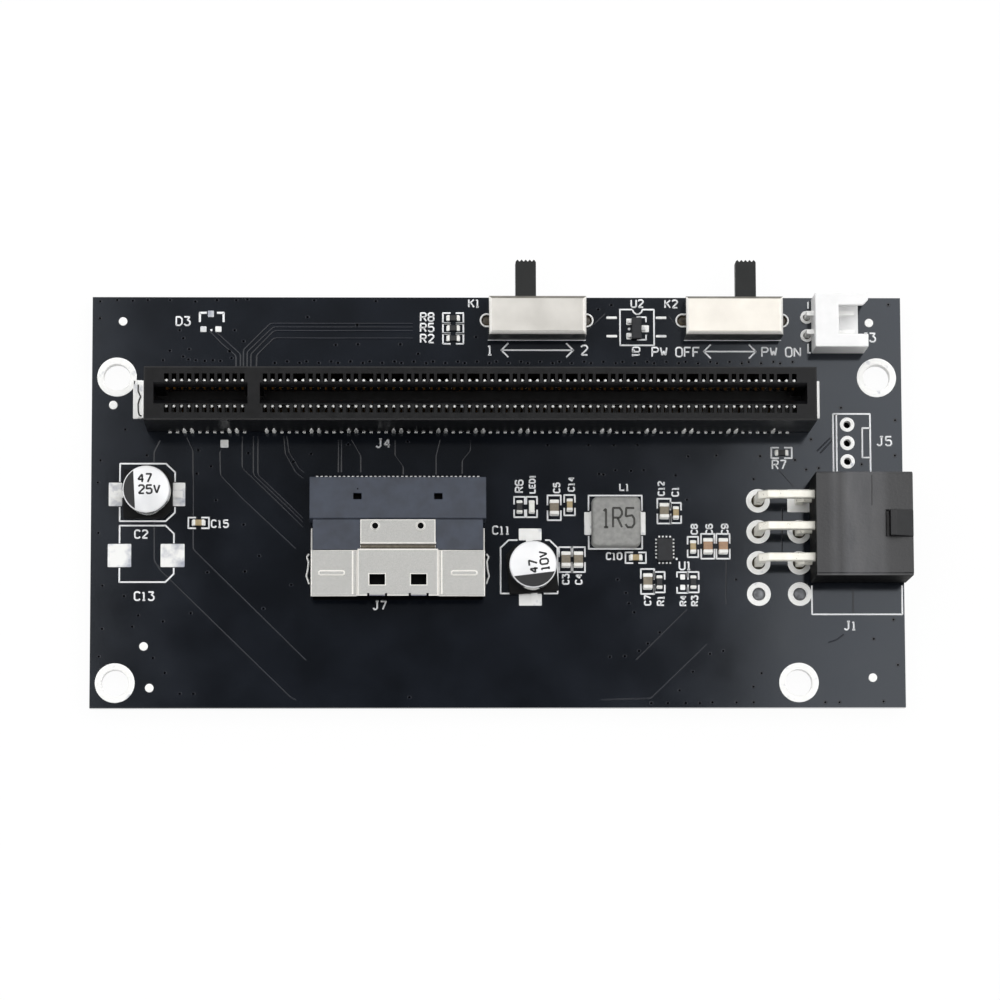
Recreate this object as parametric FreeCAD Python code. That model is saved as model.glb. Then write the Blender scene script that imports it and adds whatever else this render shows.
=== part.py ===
import FreeCAD, Part
import math
import os

Vector = FreeCAD.Vector

# Board: the origin is midway between the two rear mounting holes, on the underside.
board_width = 109.0
board_depth = 55.5
board_thickness = 1.6
rear_hole_setback = 10.9
hole_inset = 3.35
front_right_hole_inset = 14.3
mount_hole_diameter = 3.6
lead_length = 1.5
small_hole_sides = 8

# Card slot: two rows of spring contacts on one pitch, with a key between two of them.
slot_offset = -2.5
slot_setback = 3.85
slot_pitch = 1.0
slot_positions = 82
slot_key_after = 11
slot_key_skip = 2
slot_key_width = 1.6
slot_end_margin = 3.0
slot_end_wall = 1.3
slot_width = 7.15
slot_height = 11.25
slot_side_wall = 0.97
slot_stand_off = 0.3
slot_floor = 2.75
slot_card_gap = 1.8
slot_mouth_gap = 2.86
slot_lead_in = 0.7
slot_rail_height = 1.1
slot_rail_width = 0.12
slot_window_width = 0.62
slot_edge = 0.2
slot_foot_inset = 0.5
slot_rear_pairs = (16, 21, 25, 29, 35, 39, 43, 47, 52, 56, 60, 64, 68, 72, 76, 80)
slot_front_pairs = (14, 19, 23, 27, 33, 37, 41, 45, 50, 54, 58, 62, 66, 70, 74, 78)
contact_width = 0.4
contact_heel_width = 0.25
contact_heel_height = 0.25
contact_toe_reach = 0.38
contact_bow_reach = 0.18
contact_bow_drop = 2.85
contact_tip_drop = 0.55
contact_side_gap = 0.1
contact_tip_gap = 0.3
clip_sheet = 0.3
clip_width = 5.1
clip_height = 4.0
clip_foot = 1.4
clip_setback = 0.8

# Cable port: plastic blocks, folded shell and two rows of flat contacts.
port_offset = -13.45
port_tail_setback = 13.45
port_tail_reach = 0.75
port_rear_overhang = 0.18
port_rear_depth = 5.55
port_rear_height = 5.2
port_front_depth = 4.1
port_front_height = 5.0
port_stand_off = 0.2
port_shell_depth = 6.15
port_shell_base = 0.3
port_sheet = 0.25
port_crown_width = 11.04
port_crown_rise = 0.7
port_crown_slope = 0.25
port_tongue_width = 10.0
port_tongue_ramp = 0.65
port_tongue_length = 3.45
port_tongue_hole_spread = 6.05
port_tongue_hole_setback = 0.86
port_tongue_hole_diameter = 0.85
port_window_spread = 5.5
port_window_width = 2.06
port_window_length = 1.4
port_window_from_front = 1.48
port_slit_width = 0.3
port_slit_depth = 0.35
port_rib_spread = 17.6
port_rib_length = 3.55
port_rib_width = 0.5
port_rib_height = 0.12
port_rib_from_front = 3.1
port_arm_length = 3.1
port_arm_height = 3.2
port_leg_width = 0.9
port_leg_spacing = 2.6
port_leg_from_rear = 1.2
port_leg_gap = 0.25
port_nose_wall = 0.2
port_nose_gap = 0.07
port_nose_height = 2.9
port_nose_recess = 1.1
port_paddle_height = 1.1
port_paddle_gap = 0.1
port_contact_count = 37
port_contact_pitch = 0.6
port_contact_width = 0.3
port_contact_thickness = 0.15
port_contact_recess = 0.5
port_lower_drop = 2.3
port_mark_spread = 10.75
port_mark_width = 1.1
port_mark_length = 0.8
port_mark_depth = 1.2
port_mark_setback = 2.2

# Power header: two rows of three square pins in a moulded shroud on the right edge.
power_edge_inset = 19.55
power_setback = 20.95
power_pitch = 4.2
power_row_gap = 5.5
power_columns = 3
power_spare_columns = 1
power_pin = 1.1
power_pin_hole_diameter = 1.8
power_rear_gap = 1.42
power_depth = 12.85
power_rear_wall = 2.05
power_outer_wall = 0.85
power_inner_wall = 0.45
power_pin_recess = 1.7
power_cell_corner = 0.94
power_housing_edge = 0.3
power_upper_bend = 1.3
power_lower_bend = 0.85
power_catch_width = 3.5
power_catch_length = 3.15
power_catch_top = 0.75
power_catch_height = 1.3
power_catch_toe = 0.2
power_slit_length = 0.45
power_slit_depth = 0.5

# Small white header near the rear right corner, and the bare holes for another.
aux_edge_inset = 12.68
aux_rear_inset = 3.9
aux_pitch = 2.5
aux_pins = 2
aux_pin = 0.64
aux_pin_hole_diameter = 1.0
aux_rear_gap = 0.6
aux_depth = 7.1
aux_width = 7.4
aux_height = 5.9
aux_wall = 0.8
aux_rear_wall = 2.5
aux_floor_trim = 0.85
aux_cutout_width = 3.9
aux_cutout_rear = 3.15
aux_cutout_chamfer = 0.7
aux_pin_height = 3.0
aux_pin_recess = 1.6
spare_edge_inset = 7.4
spare_setback = 8.9
spare_holes = 3

# Slide switches on the rear edge: one knob is stored to the left, the other to the right.
switch_edge_inset = 22.78
switch_spacing = 26.42
switch_rear_inset = 0.5
switch_length = 13.05
switch_depth = 5.2
switch_height = 4.6
switch_sheet = 0.3
switch_bend = 0.35
switch_lift = 0.2
switch_base_height = 0.9
switch_fit = 0.05
switch_run_gap = 0.15
switch_travel = 3.15
switch_terminals = 3
switch_carriage_length = 6.0
switch_carriage_floor = 1.9
knob_width = 2.75
knob_height = 2.0
knob_reach = 5.05
knob_teeth = 5
knob_tooth_depth = 0.33
lug_width = 1.0
lug_hole_diameter = 1.5
lug_hole_shift = 0.2
terminal_width = 0.6
terminal_depth = 0.4
terminal_rise = 0.1
terminal_hole_diameter = 0.9
wiper_sheet = 0.15
wiper_depth = 1.6
wiper_overhang = 0.6
wiper_dimple = 0.5

# Can capacitors.
can_diameter = 6.3
can_height = 5.8
can_neck_depth = 0.3
can_neck_height = 1.6
can_neck_length = 0.4
can_edge = 0.3
seat_size = 6.6
seat_height = 0.9
seat_chamfer = 1.2
seat_lift = 0.15
can_lead_width = 0.9
can_lead_reach = 4.6
can_lead_start = 0.8
input_can_edge_inset = 7.65
input_can_setback = 15.9
output_can_step = (-17.87, -2.55)
output_can_turn = 95.0

# Regulator, the inductor beside it and the transistor between the switches.
inductor_step = (-6.62, 3.55)
inductor_length = 6.5
inductor_depth = 6.6
inductor_height = 3.0
inductor_chamfer = 0.45
inductor_edge = 0.25
inductor_terminal_width = 3.1
inductor_terminal_sheet = 0.2
inductor_terminal_foot = 0.8
inductor_terminal_rise = 1.2
regulator_offset = 22.37
regulator_setback = 23.4
regulator_length = 2.0
regulator_depth = 3.0
regulator_height = 0.85
transistor_gap = 13.45
transistor_rear_inset = 4.27
transistor_length = 1.3
transistor_depth = 2.9
transistor_height = 1.1
transistor_lift = 0.1
transistor_lead_pitch = 1.9
transistor_lead_width = 0.42
transistor_lead_sheet = 0.15
transistor_lead_reach = 0.6
transistor_lead_knee = 0.2
transistor_lead_height = 0.55

# Chip parts: length, width, height and end-cap length of each size.
resistor_size = (1.6, 0.8, 0.45, 0.3)
small_capacitor_size = (1.6, 0.8, 0.8, 0.35)
large_capacitor_size = (2.0, 1.25, 0.95, 0.4)
lamp_size = (1.6, 0.8, 0.6, 0.3)
switch_resistor_gap = 11.27
switch_resistor_rear_inset = 2.85
switch_resistor_pitch = 1.38
power_resistor_inset = 16.3
power_resistor_setback = 10.25
input_chip_gap = 6.75
input_chip_step = 3.85

# Places of the chip parts round the regulator, from its centre.
resistor_6_step = (-19.49, 5.8)
indicator_lamp_step = (-17.85, 5.8)
capacitor_5_step = (-14.83, 5.7)
capacitor_14_step = (-12.76, 6.05)
capacitor_3_step = (-13.31, -1.3)
capacitor_4_step = (-11.63, -1.3)
capacitor_10_step = (-3.92, -1.05)
capacitor_12_step = (-0.07, 5.25)
capacitor_1_step = (1.5, 5.0)
capacitor_8_step = (3.78, 0.4)
capacitor_6_step = (5.77, 0.5)
capacitor_9_step = (7.83, 0.5)
capacitor_7_step = (-2.35, -4.25)
resistor_1_step = (-0.77, -4.35)
resistor_3_step = (3.79, -4.35)

right = board_width / 2
left = -right
rear = rear_hole_setback
front = rear - board_depth
top = board_thickness
lead_end = -board_thickness - lead_length
nodes = {}


def box(x_span, y_span, z_span):
    corner = Vector(x_span[0], y_span[0], z_span[0])
    return Part.makeBox(x_span[1] - x_span[0], y_span[1] - y_span[0], z_span[1] - z_span[0], corner)


def about(middle, size):
    return (middle - size / 2, middle + size / 2)


def half(size):
    return about(0, size)


def prism(axis, outline, span):
    """Solid of a flat outline drawn in the two other axes and drawn out along one axis."""
    places = {"x": lambda a, b: Vector(span[0], a, b),
              "y": lambda a, b: Vector(a, span[0], b),
              "z": lambda a, b: Vector(a, b, span[0])}
    way = {"x": Vector(1, 0, 0), "y": Vector(0, 1, 0), "z": Vector(0, 0, 1)}[axis]
    corners = [places[axis](a, b) for a, b in outline]
    face = Part.Face(Part.makePolygon(corners + corners[:1]))
    return face.extrude(way * (span[1] - span[0]))


def mirrored(outline):
    return [(-a, b) for a, b in outline]


def seated(shapes, x, y, turn=0.0):
    """Copy of shapes drawn about the origin, set on the board's top face."""
    group = Part.makeCompound(shapes)
    group.rotate(Vector(0, 0, 0), Vector(0, 0, 1), turn)
    group.translate(Vector(x, y, top))
    return group


def small_hole(x, y, diameter, z_span):
    """Faceted hole, as wide across its flats as the drill."""
    radius = diameter / 2 / math.cos(math.pi / small_hole_sides)
    turns = [2 * math.pi * (index + 0.5) / small_hole_sides for index in range(small_hole_sides)]
    outline = [(x + radius * math.cos(turn), y + radius * math.sin(turn)) for turn in turns]
    return prism("z", outline, z_span)


def lead_hole(x, y, diameter):
    return small_hole(x, y, diameter, (0, board_thickness))


def upper_edges(solid):
    return [edge for edge in solid.Edges if edge.BoundBox.ZMin > solid.BoundBox.Center.z]


def add(name, shapes, x, y, turn=0.0):
    nodes[name] = seated(shapes, x, y, turn)


slot_x = slot_offset
slot_y = -slot_setback
port_x = port_offset
port_y = -port_tail_setback - port_tail_reach
power_x = right - power_edge_inset
power_y = -power_setback
aux_x = right - aux_edge_inset
aux_y = rear - aux_rear_inset
spare_x = right - spare_edge_inset
power_switch_x = right - switch_edge_inset
mode_switch_x = power_switch_x - switch_spacing
switch_y = rear - switch_rear_inset - switch_depth / 2
regulator_x = regulator_offset
regulator_y = -regulator_setback
inductor_x = regulator_x + inductor_step[0]
inductor_y = regulator_y + inductor_step[1]
input_can_x = left + input_can_edge_inset
input_can_y = -input_can_setback
transistor_x = mode_switch_x + transistor_gap
transistor_y = rear - transistor_rear_inset
mode_rest = -switch_travel / 2
power_rest = switch_travel / 2


def centred(count, pitch):
    return [(index - (count - 1) / 2) * pitch for index in range(count)]


def switch_holes(x):
    lugs = [lead_hole(x + side * (switch_length / 2 + lug_hole_shift), switch_y, lug_hole_diameter)
            for side in (-1, 1)]
    terminals = [lead_hole(x + step, switch_y, terminal_hole_diameter)
                 for step in centred(switch_terminals, switch_travel)]
    return lugs + terminals


port_row_width = (port_contact_count - 1) * port_contact_pitch + port_contact_width
port_paddle_width = port_row_width + 2 * port_paddle_gap
port_nose_width = port_paddle_width + 2 * port_nose_wall
port_inner_width = port_nose_width + 2 * port_nose_gap
port_shell_width = port_inner_width + 2 * port_sheet
port_rear_width = port_shell_width + 2 * port_rear_overhang
port_shell_rear = -port_rear_depth - port_contact_thickness - port_front_depth
port_leg_rear = port_shell_rear - port_leg_from_rear
port_leg_places = [(side * (port_shell_width - port_sheet) / 2, port_leg_rear - step)
                   for side in (-1, 1) for step in (0, port_leg_spacing)]


def make_board():
    plate = box((left, right), (front, rear), (0, board_thickness))
    mount_places = [(left + hole_inset, 0), (right - hole_inset, 0),
                    (left + hole_inset, front + hole_inset),
                    (right - front_right_hole_inset, front + hole_inset)]
    power_places = [power_y + step for step in centred(power_columns, power_pitch)]
    power_places += [power_places[0] - power_pitch * (extra + 1) for extra in range(power_spare_columns)]
    holes = [Part.makeCylinder(mount_hole_diameter / 2, board_thickness, Vector(x, y, 0))
             for x, y in mount_places]
    holes += [lead_hole(power_x + row, y, power_pin_hole_diameter)
              for row in (0, power_row_gap) for y in power_places]
    holes += [lead_hole(aux_x, aux_y + step, aux_pin_hole_diameter)
              for step in centred(aux_pins, aux_pitch)]
    holes += [lead_hole(spare_x, step - spare_setback, aux_pin_hole_diameter)
              for step in centred(spare_holes, aux_pitch)]
    holes += [box(about(port_x + x, port_sheet + 2 * port_leg_gap),
                  about(port_y + y, port_leg_width + 2 * port_leg_gap), (0, board_thickness))
              for x, y in port_leg_places]
    holes += switch_holes(mode_switch_x) + switch_holes(power_switch_x)
    nodes["circuit_board"] = plate.cut(holes)


slot_span = (slot_positions - 1 + slot_key_skip) * slot_pitch
slot_length = slot_span + 2 * slot_end_margin
slot_window_outer = slot_width / 2 - slot_side_wall
slot_window_inner = slot_mouth_gap / 2 + slot_rail_width


def contact_place(position):
    skipped = slot_key_skip if position > slot_key_after else 0
    return (position - 1 + skipped) * slot_pitch - slot_span / 2


slot_key_place = (contact_place(slot_key_after) + contact_place(slot_key_after + 1)) / 2


def window_spans(pair_starts):
    spans = []
    position = 1
    while position <= slot_positions:
        last = position + 1 if position in pair_starts else position
        spans.append((contact_place(position) - slot_window_width / 2,
                      contact_place(last) + slot_window_width / 2))
        position = last + 1
    return spans


def make_slot():
    body = box(half(slot_length), half(slot_width), (slot_stand_off, slot_height))
    body = body.makeChamfer(slot_edge, upper_edges(body))
    rail_foot = slot_height - slot_rail_height
    lead_in_foot = slot_height - slot_lead_in
    mouth = [(-slot_mouth_gap / 2, slot_height), (slot_mouth_gap / 2, slot_height),
             (slot_card_gap / 2, lead_in_foot), (slot_card_gap / 2, slot_floor),
             (-slot_card_gap / 2, slot_floor), (-slot_card_gap / 2, lead_in_foot)]
    bay_end = slot_length / 2 - slot_end_wall
    key_left, key_right = about(slot_key_place, slot_key_width)
    bays = [(-bay_end, key_left), (key_right, bay_end)]
    rows = [(1, slot_key_after), (slot_key_after + 1, slot_positions)]
    cuts = [prism("x", mouth, bay) for bay in bays]
    for side, pair_starts in ((1, slot_rear_pairs), (-1, slot_front_pairs)):
        window = tuple(sorted((side * slot_window_inner, side * slot_window_outer)))
        spring_room = tuple(sorted((0, side * slot_window_outer)))
        for first, last in rows:
            margin = slot_window_width / 2
            length = (contact_place(first) - margin, contact_place(last) + margin)
            cuts.append(box(length, spring_room, (slot_floor, rail_foot)))
            cuts.append(box(length, window, (0, slot_floor)))
        cuts += [box(span, window, (rail_foot, slot_height)) for span in window_spans(pair_starts)]
    body = body.cut(cuts)
    foot_length = slot_end_margin - slot_pitch
    foot_width = slot_width - 2 * slot_foot_inset
    foot_end = slot_length / 2 - slot_foot_inset
    foot = box((foot_end - foot_length, foot_end), half(foot_width), (0, slot_stand_off))
    other_foot = foot.mirror(Vector(0, 0, 0), Vector(1, 0, 0))
    add("slot_housing", [body.fuse([foot, other_foot]).removeSplitter()], slot_x, slot_y)

    heel = slot_window_outer - contact_side_gap
    bow = slot_card_gap / 2 - contact_bow_reach
    bow_level = slot_height - contact_bow_drop
    tip = slot_window_inner + contact_tip_gap
    blade = [(slot_width / 2 + contact_toe_reach, 0), (heel, contact_heel_height),
             (tip, slot_height - contact_tip_drop), (bow, bow_level), (heel - contact_heel_width, 0)]
    for name, outline in (("slot_contacts_rear", blade), ("slot_contacts_front", mirrored(blade))):
        places = [contact_place(position) for position in range(1, slot_positions + 1)]
        add(name, [prism("x", outline, about(place, contact_width)) for place in places], slot_x, slot_y)
    angle = [(0, 0), (clip_foot, 0), (clip_foot, clip_sheet), (clip_sheet, clip_sheet),
             (clip_sheet, clip_height), (0, clip_height)]
    slot_end = slot_length / 2
    clip_y = slot_y + clip_setback
    add("slot_clip_right", [prism("y", angle, half(clip_width))], slot_x + slot_end, clip_y)
    add("slot_clip_left", [prism("y", mirrored(angle), half(clip_width))], slot_x - slot_end, clip_y)


def make_port():
    lift = port_stand_off
    split = -port_rear_depth
    insulator_rear = split - port_contact_thickness
    insulator_front = port_shell_rear
    shell_front = port_shell_rear - port_shell_depth
    marks = []
    for side in (-1, 1):
        middle = side * port_mark_spread / 2
        marks.append(box(about(middle, port_mark_width),
                         (-port_mark_setback - port_mark_length, -port_mark_setback),
                         (port_rear_height - port_mark_depth, port_rear_height)))
    rear_block = box(half(port_rear_width), (split, 0), (lift, port_rear_height)).cut(marks)
    add("port_rear_block", [rear_block], port_x, port_y)

    nose_floor = (port_shell_base + port_front_height - port_nose_height) / 2
    nose = box(half(port_nose_width), (shell_front + port_nose_recess, insulator_front),
               (nose_floor, nose_floor + port_nose_height))
    paddle_floor = nose_floor + (port_nose_height - port_paddle_height) / 2
    paddle_roof = paddle_floor + port_paddle_height
    paddle = box(half(port_paddle_width), (shell_front, insulator_rear), (paddle_floor, paddle_roof))
    drop_rear = insulator_rear - port_lower_drop
    drop = box(half(port_paddle_width), (drop_rear - port_contact_thickness, drop_rear), (0, paddle_floor))
    block = box(half(port_inner_width), (insulator_front, insulator_rear), (lift, port_front_height))
    add("port_front_block", [block.fuse(nose).cut([paddle, drop])], port_x, port_y)

    crown_top = port_front_height + port_crown_rise
    crown = port_crown_width / 2

    def section(inset):
        side = port_shell_width / 2 - inset
        shoulder = port_front_height - inset
        return [(-side, port_shell_base + inset), (side, port_shell_base + inset), (side, shoulder),
                (crown - inset, shoulder), (crown - port_crown_slope - inset, crown_top - inset),
                (-crown + port_crown_slope + inset, crown_top - inset), (-crown + inset, shoulder),
                (-side, shoulder)]

    shell = prism("y", section(0), (shell_front, insulator_front))
    cuts = [prism("y", section(port_sheet), (shell_front, insulator_front))]
    window_front = shell_front + port_window_from_front
    for side in (-1, 1):
        middle = side * port_window_spread / 2
        cuts.append(box(about(middle, port_window_width),
                        (window_front, window_front + port_window_length), (port_front_height, crown_top)))
        for edge in (-1, 1):
            slit = middle + edge * (port_window_width + port_slit_width) / 2
            cuts.append(box(about(slit, port_slit_width), (shell_front, shell_front + port_slit_depth),
                            (port_front_height, crown_top)))
    shell = shell.cut(cuts)
    ramp_end = insulator_front + port_tongue_ramp
    tongue_end = ramp_end + port_tongue_length
    tongue_top = port_front_height + port_sheet
    tongue = prism("x", [(insulator_front, crown_top), (insulator_front, crown_top - port_sheet),
                         (ramp_end, port_front_height), (tongue_end, port_front_height),
                         (tongue_end, tongue_top), (ramp_end, tongue_top)], half(port_tongue_width))
    hole_y = tongue_end - port_tongue_hole_setback
    tongue_holes = [small_hole(side * port_tongue_hole_spread / 2, hole_y, port_tongue_hole_diameter,
                               (port_front_height, tongue_top)) for side in (-1, 1)]
    extras = [tongue.cut(tongue_holes)]
    wall = (port_shell_width / 2 - port_sheet, port_shell_width / 2)
    for side in (-1, 1):
        side_wall = tuple(sorted((side * wall[0], side * wall[1])))
        extras.append(box(side_wall, (insulator_front, insulator_front + port_arm_length),
                          (port_shell_base, port_shell_base + port_arm_height)))
        rib_middle = side * port_rib_spread / 2
        rib_y = shell_front + port_rib_from_front
        rib_front, rib_rear = about(rib_y, port_rib_width)
        rib = [(rib_front, port_front_height), (rib_rear, port_front_height),
               (rib_y, port_front_height + port_rib_height)]
        extras.append(prism("x", rib, about(rib_middle, port_rib_length)))
    for x, y in port_leg_places:
        extras.append(box(about(x, port_sheet), about(y, port_leg_width), (lead_end, port_shell_base)))
    add("port_shell", [shell.fuse(extras).removeSplitter()], port_x, port_y)

    blade_tip = shell_front + port_nose_recess + port_contact_recess
    sheet = port_contact_thickness
    upper = [(blade_tip, paddle_roof), (split, paddle_roof), (split, sheet), (port_tail_reach, 0),
             (insulator_rear, 0), (insulator_rear, paddle_roof - sheet)]
    lower = [(blade_tip, paddle_floor), (drop_rear - sheet, paddle_floor), (drop_rear, 0),
             (drop_rear, paddle_floor + sheet)]
    for name, outline in (("port_contacts_upper", upper), ("port_contacts_lower", lower)):
        blades = [prism("x", outline, about(place, port_contact_width))
                  for place in centred(port_contact_count, port_contact_pitch)]
        add(name, blades, port_x, port_y)


def cell_outline(y, level, size, corner):
    """Square plug cell, with its two upper corners cut off where it keys the plug."""
    side = size / 2
    floor = [(y - side, level - side), (y + side, level - side)]
    if corner:
        return floor + [(y + side, level + side - corner), (y + side - corner, level + side),
                        (y - side + corner, level + side), (y - side, level + side - corner)]
    return floor + [(y + side, level + side), (y - side, level + side)]


def make_power_header():
    cell = power_pitch - power_inner_wall
    width = power_columns * power_pitch - power_inner_wall + 2 * power_outer_wall
    height = 2 * power_pitch - power_inner_wall + 2 * power_outer_wall
    housing_rear = power_row_gap + power_rear_gap
    housing_front = housing_rear + power_depth
    cell_rear = housing_rear + power_rear_wall
    lower_level = power_outer_wall + cell / 2
    upper_level = lower_level + power_pitch
    pin = power_pin / 2
    housing = box((housing_rear, housing_front), half(width), (0, height))
    long_edges = [edge for edge in housing.Edges if edge.BoundBox.XLength > power_depth / 2]
    housing = housing.makeChamfer(power_housing_edge, long_edges)
    cuts = []
    for row, level in enumerate((lower_level, upper_level)):
        for column, y in enumerate(centred(power_columns, power_pitch)):
            corner = power_cell_corner if (row + column) % 2 else 0
            cuts.append(prism("x", cell_outline(y, level, cell, corner), (cell_rear, housing_front)))
            cuts.append(box((housing_rear, cell_rear), about(y, power_pin), about(level, power_pin)))
    catch_rear = housing_front - power_catch_length
    catch_level = height + power_catch_height
    cuts.append(box((catch_rear - power_slit_length, catch_rear), half(power_catch_width),
                    (height - power_slit_depth, height)))
    housing = housing.cut(cuts)
    ramp = [(catch_rear, height), (housing_front, height), (housing_front, height + power_catch_toe),
            (catch_rear + power_catch_top, catch_level), (catch_rear, catch_level)]
    catch = prism("y", ramp, half(power_catch_width))
    add("power_housing", [housing.fuse(catch).removeSplitter()], power_x, power_y)
    tip = housing_front - power_pin_recess
    for name, level, drop, bend in (("power_pins_upper", upper_level, 0, power_upper_bend),
                                    ("power_pins_lower", lower_level, power_row_gap, power_lower_bend)):
        bent = [(tip, level - pin), (tip, level + pin), (drop - pin + bend, level + pin),
                (drop - pin, level + pin - bend), (drop - pin, lead_end), (drop + pin, lead_end),
                (drop + pin, level - pin)]
        pins = [prism("y", bent, about(y, power_pin)) for y in centred(power_columns, power_pitch)]
        add(name, pins, power_x, power_y)


def make_aux_header():
    rear_face = aux_rear_gap
    mouth = rear_face + aux_depth
    inner = (aux_width - 2 * aux_wall) / 2
    housing = box((rear_face, mouth), half(aux_width), (0, aux_height))
    cut = aux_cutout_width / 2
    roof = [(rear_face + aux_cutout_rear, -cut), (mouth - aux_cutout_chamfer, -cut),
            (mouth, -cut), (mouth, cut + aux_cutout_chamfer), (mouth - aux_cutout_chamfer, cut),
            (rear_face + aux_cutout_rear, cut)]
    tools = [box((rear_face + aux_rear_wall, mouth), (-inner, inner), (aux_wall, aux_height - aux_wall)),
             box((mouth - aux_floor_trim, mouth), (-inner, inner), (0, aux_wall)),
             prism("z", roof, (aux_height - aux_wall, aux_height))]
    pin = aux_pin / 2
    bent = [(mouth - aux_pin_recess, aux_pin_height - pin), (mouth - aux_pin_recess, aux_pin_height + pin),
            (-pin, aux_pin_height + pin), (-pin, lead_end), (pin, lead_end), (pin, aux_pin_height - pin)]
    pins = []
    for y in centred(aux_pins, aux_pitch):
        pins.append(prism("y", bent, (y - pin, y + pin)))
        tools.append(box((rear_face, rear_face + aux_rear_wall), (y - pin, y + pin),
                         (aux_pin_height - pin, aux_pin_height + pin)))
    add("aux_housing", [housing.cut(tools)], aux_x, aux_y)
    add("aux_pins", pins, aux_x, aux_y)


def make_switch(name, x, rest):
    case_span = half(switch_length)
    inner_length = switch_length - 2 * switch_sheet
    inner_depth = switch_depth - 2 * switch_sheet
    knob_floor = switch_carriage_floor
    knob_top = knob_floor + knob_height
    reach = knob_width / 2 + switch_travel / 2 + switch_run_gap
    case = box(case_span, half(switch_depth), (switch_lift, switch_height))
    case = case.makeChamfer(switch_bend, upper_edges(case))
    case = case.cut([box(half(inner_length), half(inner_depth), (0, switch_height - switch_sheet)),
                     box((-reach, reach), (0, switch_depth / 2),
                         (knob_floor - switch_run_gap, knob_top + switch_run_gap))])
    lugs = [box(about(side * (switch_length - switch_sheet) / 2, switch_sheet), half(lug_width),
                (lead_end, switch_lift)) for side in (-1, 1)]
    add(name + "_case", [case.fuse(lugs).removeSplitter()], x, switch_y)

    base_length = inner_length - 2 * switch_fit
    base_depth = inner_depth - 2 * switch_fit
    base = box(half(base_length), half(base_depth), (0, switch_base_height))
    terminal_top = switch_base_height + terminal_rise
    terminals = [box(about(place, terminal_width), half(terminal_depth), (lead_end, terminal_top))
                 for place in centred(switch_terminals, switch_travel)]
    add(name + "_base", [base.cut(terminals)], x, switch_y)
    add(name + "_terminals", terminals, x, switch_y)

    tip = switch_depth / 2 + knob_reach
    tooth = knob_width / knob_teeth
    edge = [(knob_width / 2, tip - knob_tooth_depth)]
    for index in range(knob_teeth):
        right_side = knob_width / 2 - index * tooth
        edge.append((right_side - tooth / 2, tip))
        edge.append((right_side - tooth, tip - knob_tooth_depth))
    carriage = inner_depth / 2 - switch_run_gap
    plan = [(-switch_carriage_length / 2, -carriage), (switch_carriage_length / 2, -carriage),
            (switch_carriage_length / 2, carriage), (knob_width / 2, carriage)]
    plan += edge + [(-knob_width / 2, carriage), (-switch_carriage_length / 2, carriage)]
    add(name + "_knob", [prism("z", plan, (knob_floor, knob_top))], x + rest, switch_y)

    dimple = switch_travel / 2
    end = dimple + wiper_overhang
    level = knob_floor - wiper_sheet
    low = terminal_top + switch_fit
    bridge = [(-end, knob_floor), (-dimple, low), (-dimple + wiper_dimple, level),
              (dimple - wiper_dimple, level), (dimple, low), (end, knob_floor)]
    add(name + "_wiper", [prism("y", bridge, half(wiper_depth))], x + rest, switch_y)


def make_can_capacitor(name, x, y, turn):
    radius = can_diameter / 2
    neck = radius - can_neck_depth
    profile = [(0, seat_height), (neck, seat_height), (neck, can_neck_height),
               (radius, can_neck_height + can_neck_length),
               (radius, can_height - can_edge), (radius - can_edge, can_height), (0, can_height)]
    corners = [Vector(a, 0, b) for a, b in profile]
    can = Part.Face(Part.makePolygon(corners + corners[:1])).revolve(Vector(0, 0, 0), Vector(0, 0, 1), 360)
    add(name + "_can", [can], x, y, turn)
    side = seat_size / 2
    cut = side - seat_chamfer
    plan = [(-side, -side), (cut, -side), (side, -cut), (side, cut), (cut, side), (-side, side)]
    add(name + "_seat", [prism("z", plan, (seat_lift, seat_height))], x, y, turn)
    leads = [box((can_lead_start, can_lead_reach), half(can_lead_width), (0, seat_lift)),
             box((-can_lead_reach, -can_lead_start), half(can_lead_width), (0, seat_lift))]
    add(name + "_leads", leads, x, y, turn)


def make_inductor():
    side = inductor_length / 2
    deep = inductor_depth / 2
    cut = inductor_chamfer
    plan = [(-side + cut, -deep), (side - cut, -deep), (side, -deep + cut), (side, deep - cut),
            (side - cut, deep), (-side + cut, deep), (-side, deep - cut), (-side, -deep + cut)]
    body = prism("z", plan, (0, inductor_height))
    body = body.makeChamfer(inductor_edge, upper_edges(body))
    add("inductor_body", [body], inductor_x, inductor_y)
    sheet = inductor_terminal_sheet
    angle = [(side, 0), (side + inductor_terminal_foot, 0), (side + inductor_terminal_foot, sheet),
             (side + sheet, sheet), (side + sheet, inductor_terminal_rise), (side, inductor_terminal_rise)]
    terminals = [prism("y", outline, half(inductor_terminal_width))
                 for outline in (angle, mirrored(angle))]
    add("inductor_terminals", terminals, inductor_x, inductor_y)


def make_regulator():
    body = box(half(regulator_length), half(regulator_depth), (0, regulator_height))
    add("regulator_package", [body], regulator_x, regulator_y)


def make_transistor():
    body = box(half(transistor_length), half(transistor_depth), (transistor_lift, transistor_height))
    add("transistor_body", [body], transistor_x, transistor_y)
    side = transistor_length / 2
    sheet = transistor_lead_sheet
    toe = side + transistor_lead_reach
    level = transistor_lead_height
    bent = [(side, level), (side + transistor_lead_knee + sheet, level), (toe, sheet), (toe, 0),
            (side + transistor_lead_knee, 0), (side, level - sheet)]
    pair_y = transistor_lead_pitch / 2
    places = [(mirrored(bent), pair_y), (mirrored(bent), -pair_y), (bent, 0)]
    leads = [prism("y", outline, about(y, transistor_lead_width)) for outline, y in places]
    add("transistor_leads", leads, transistor_x, transistor_y)


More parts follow.
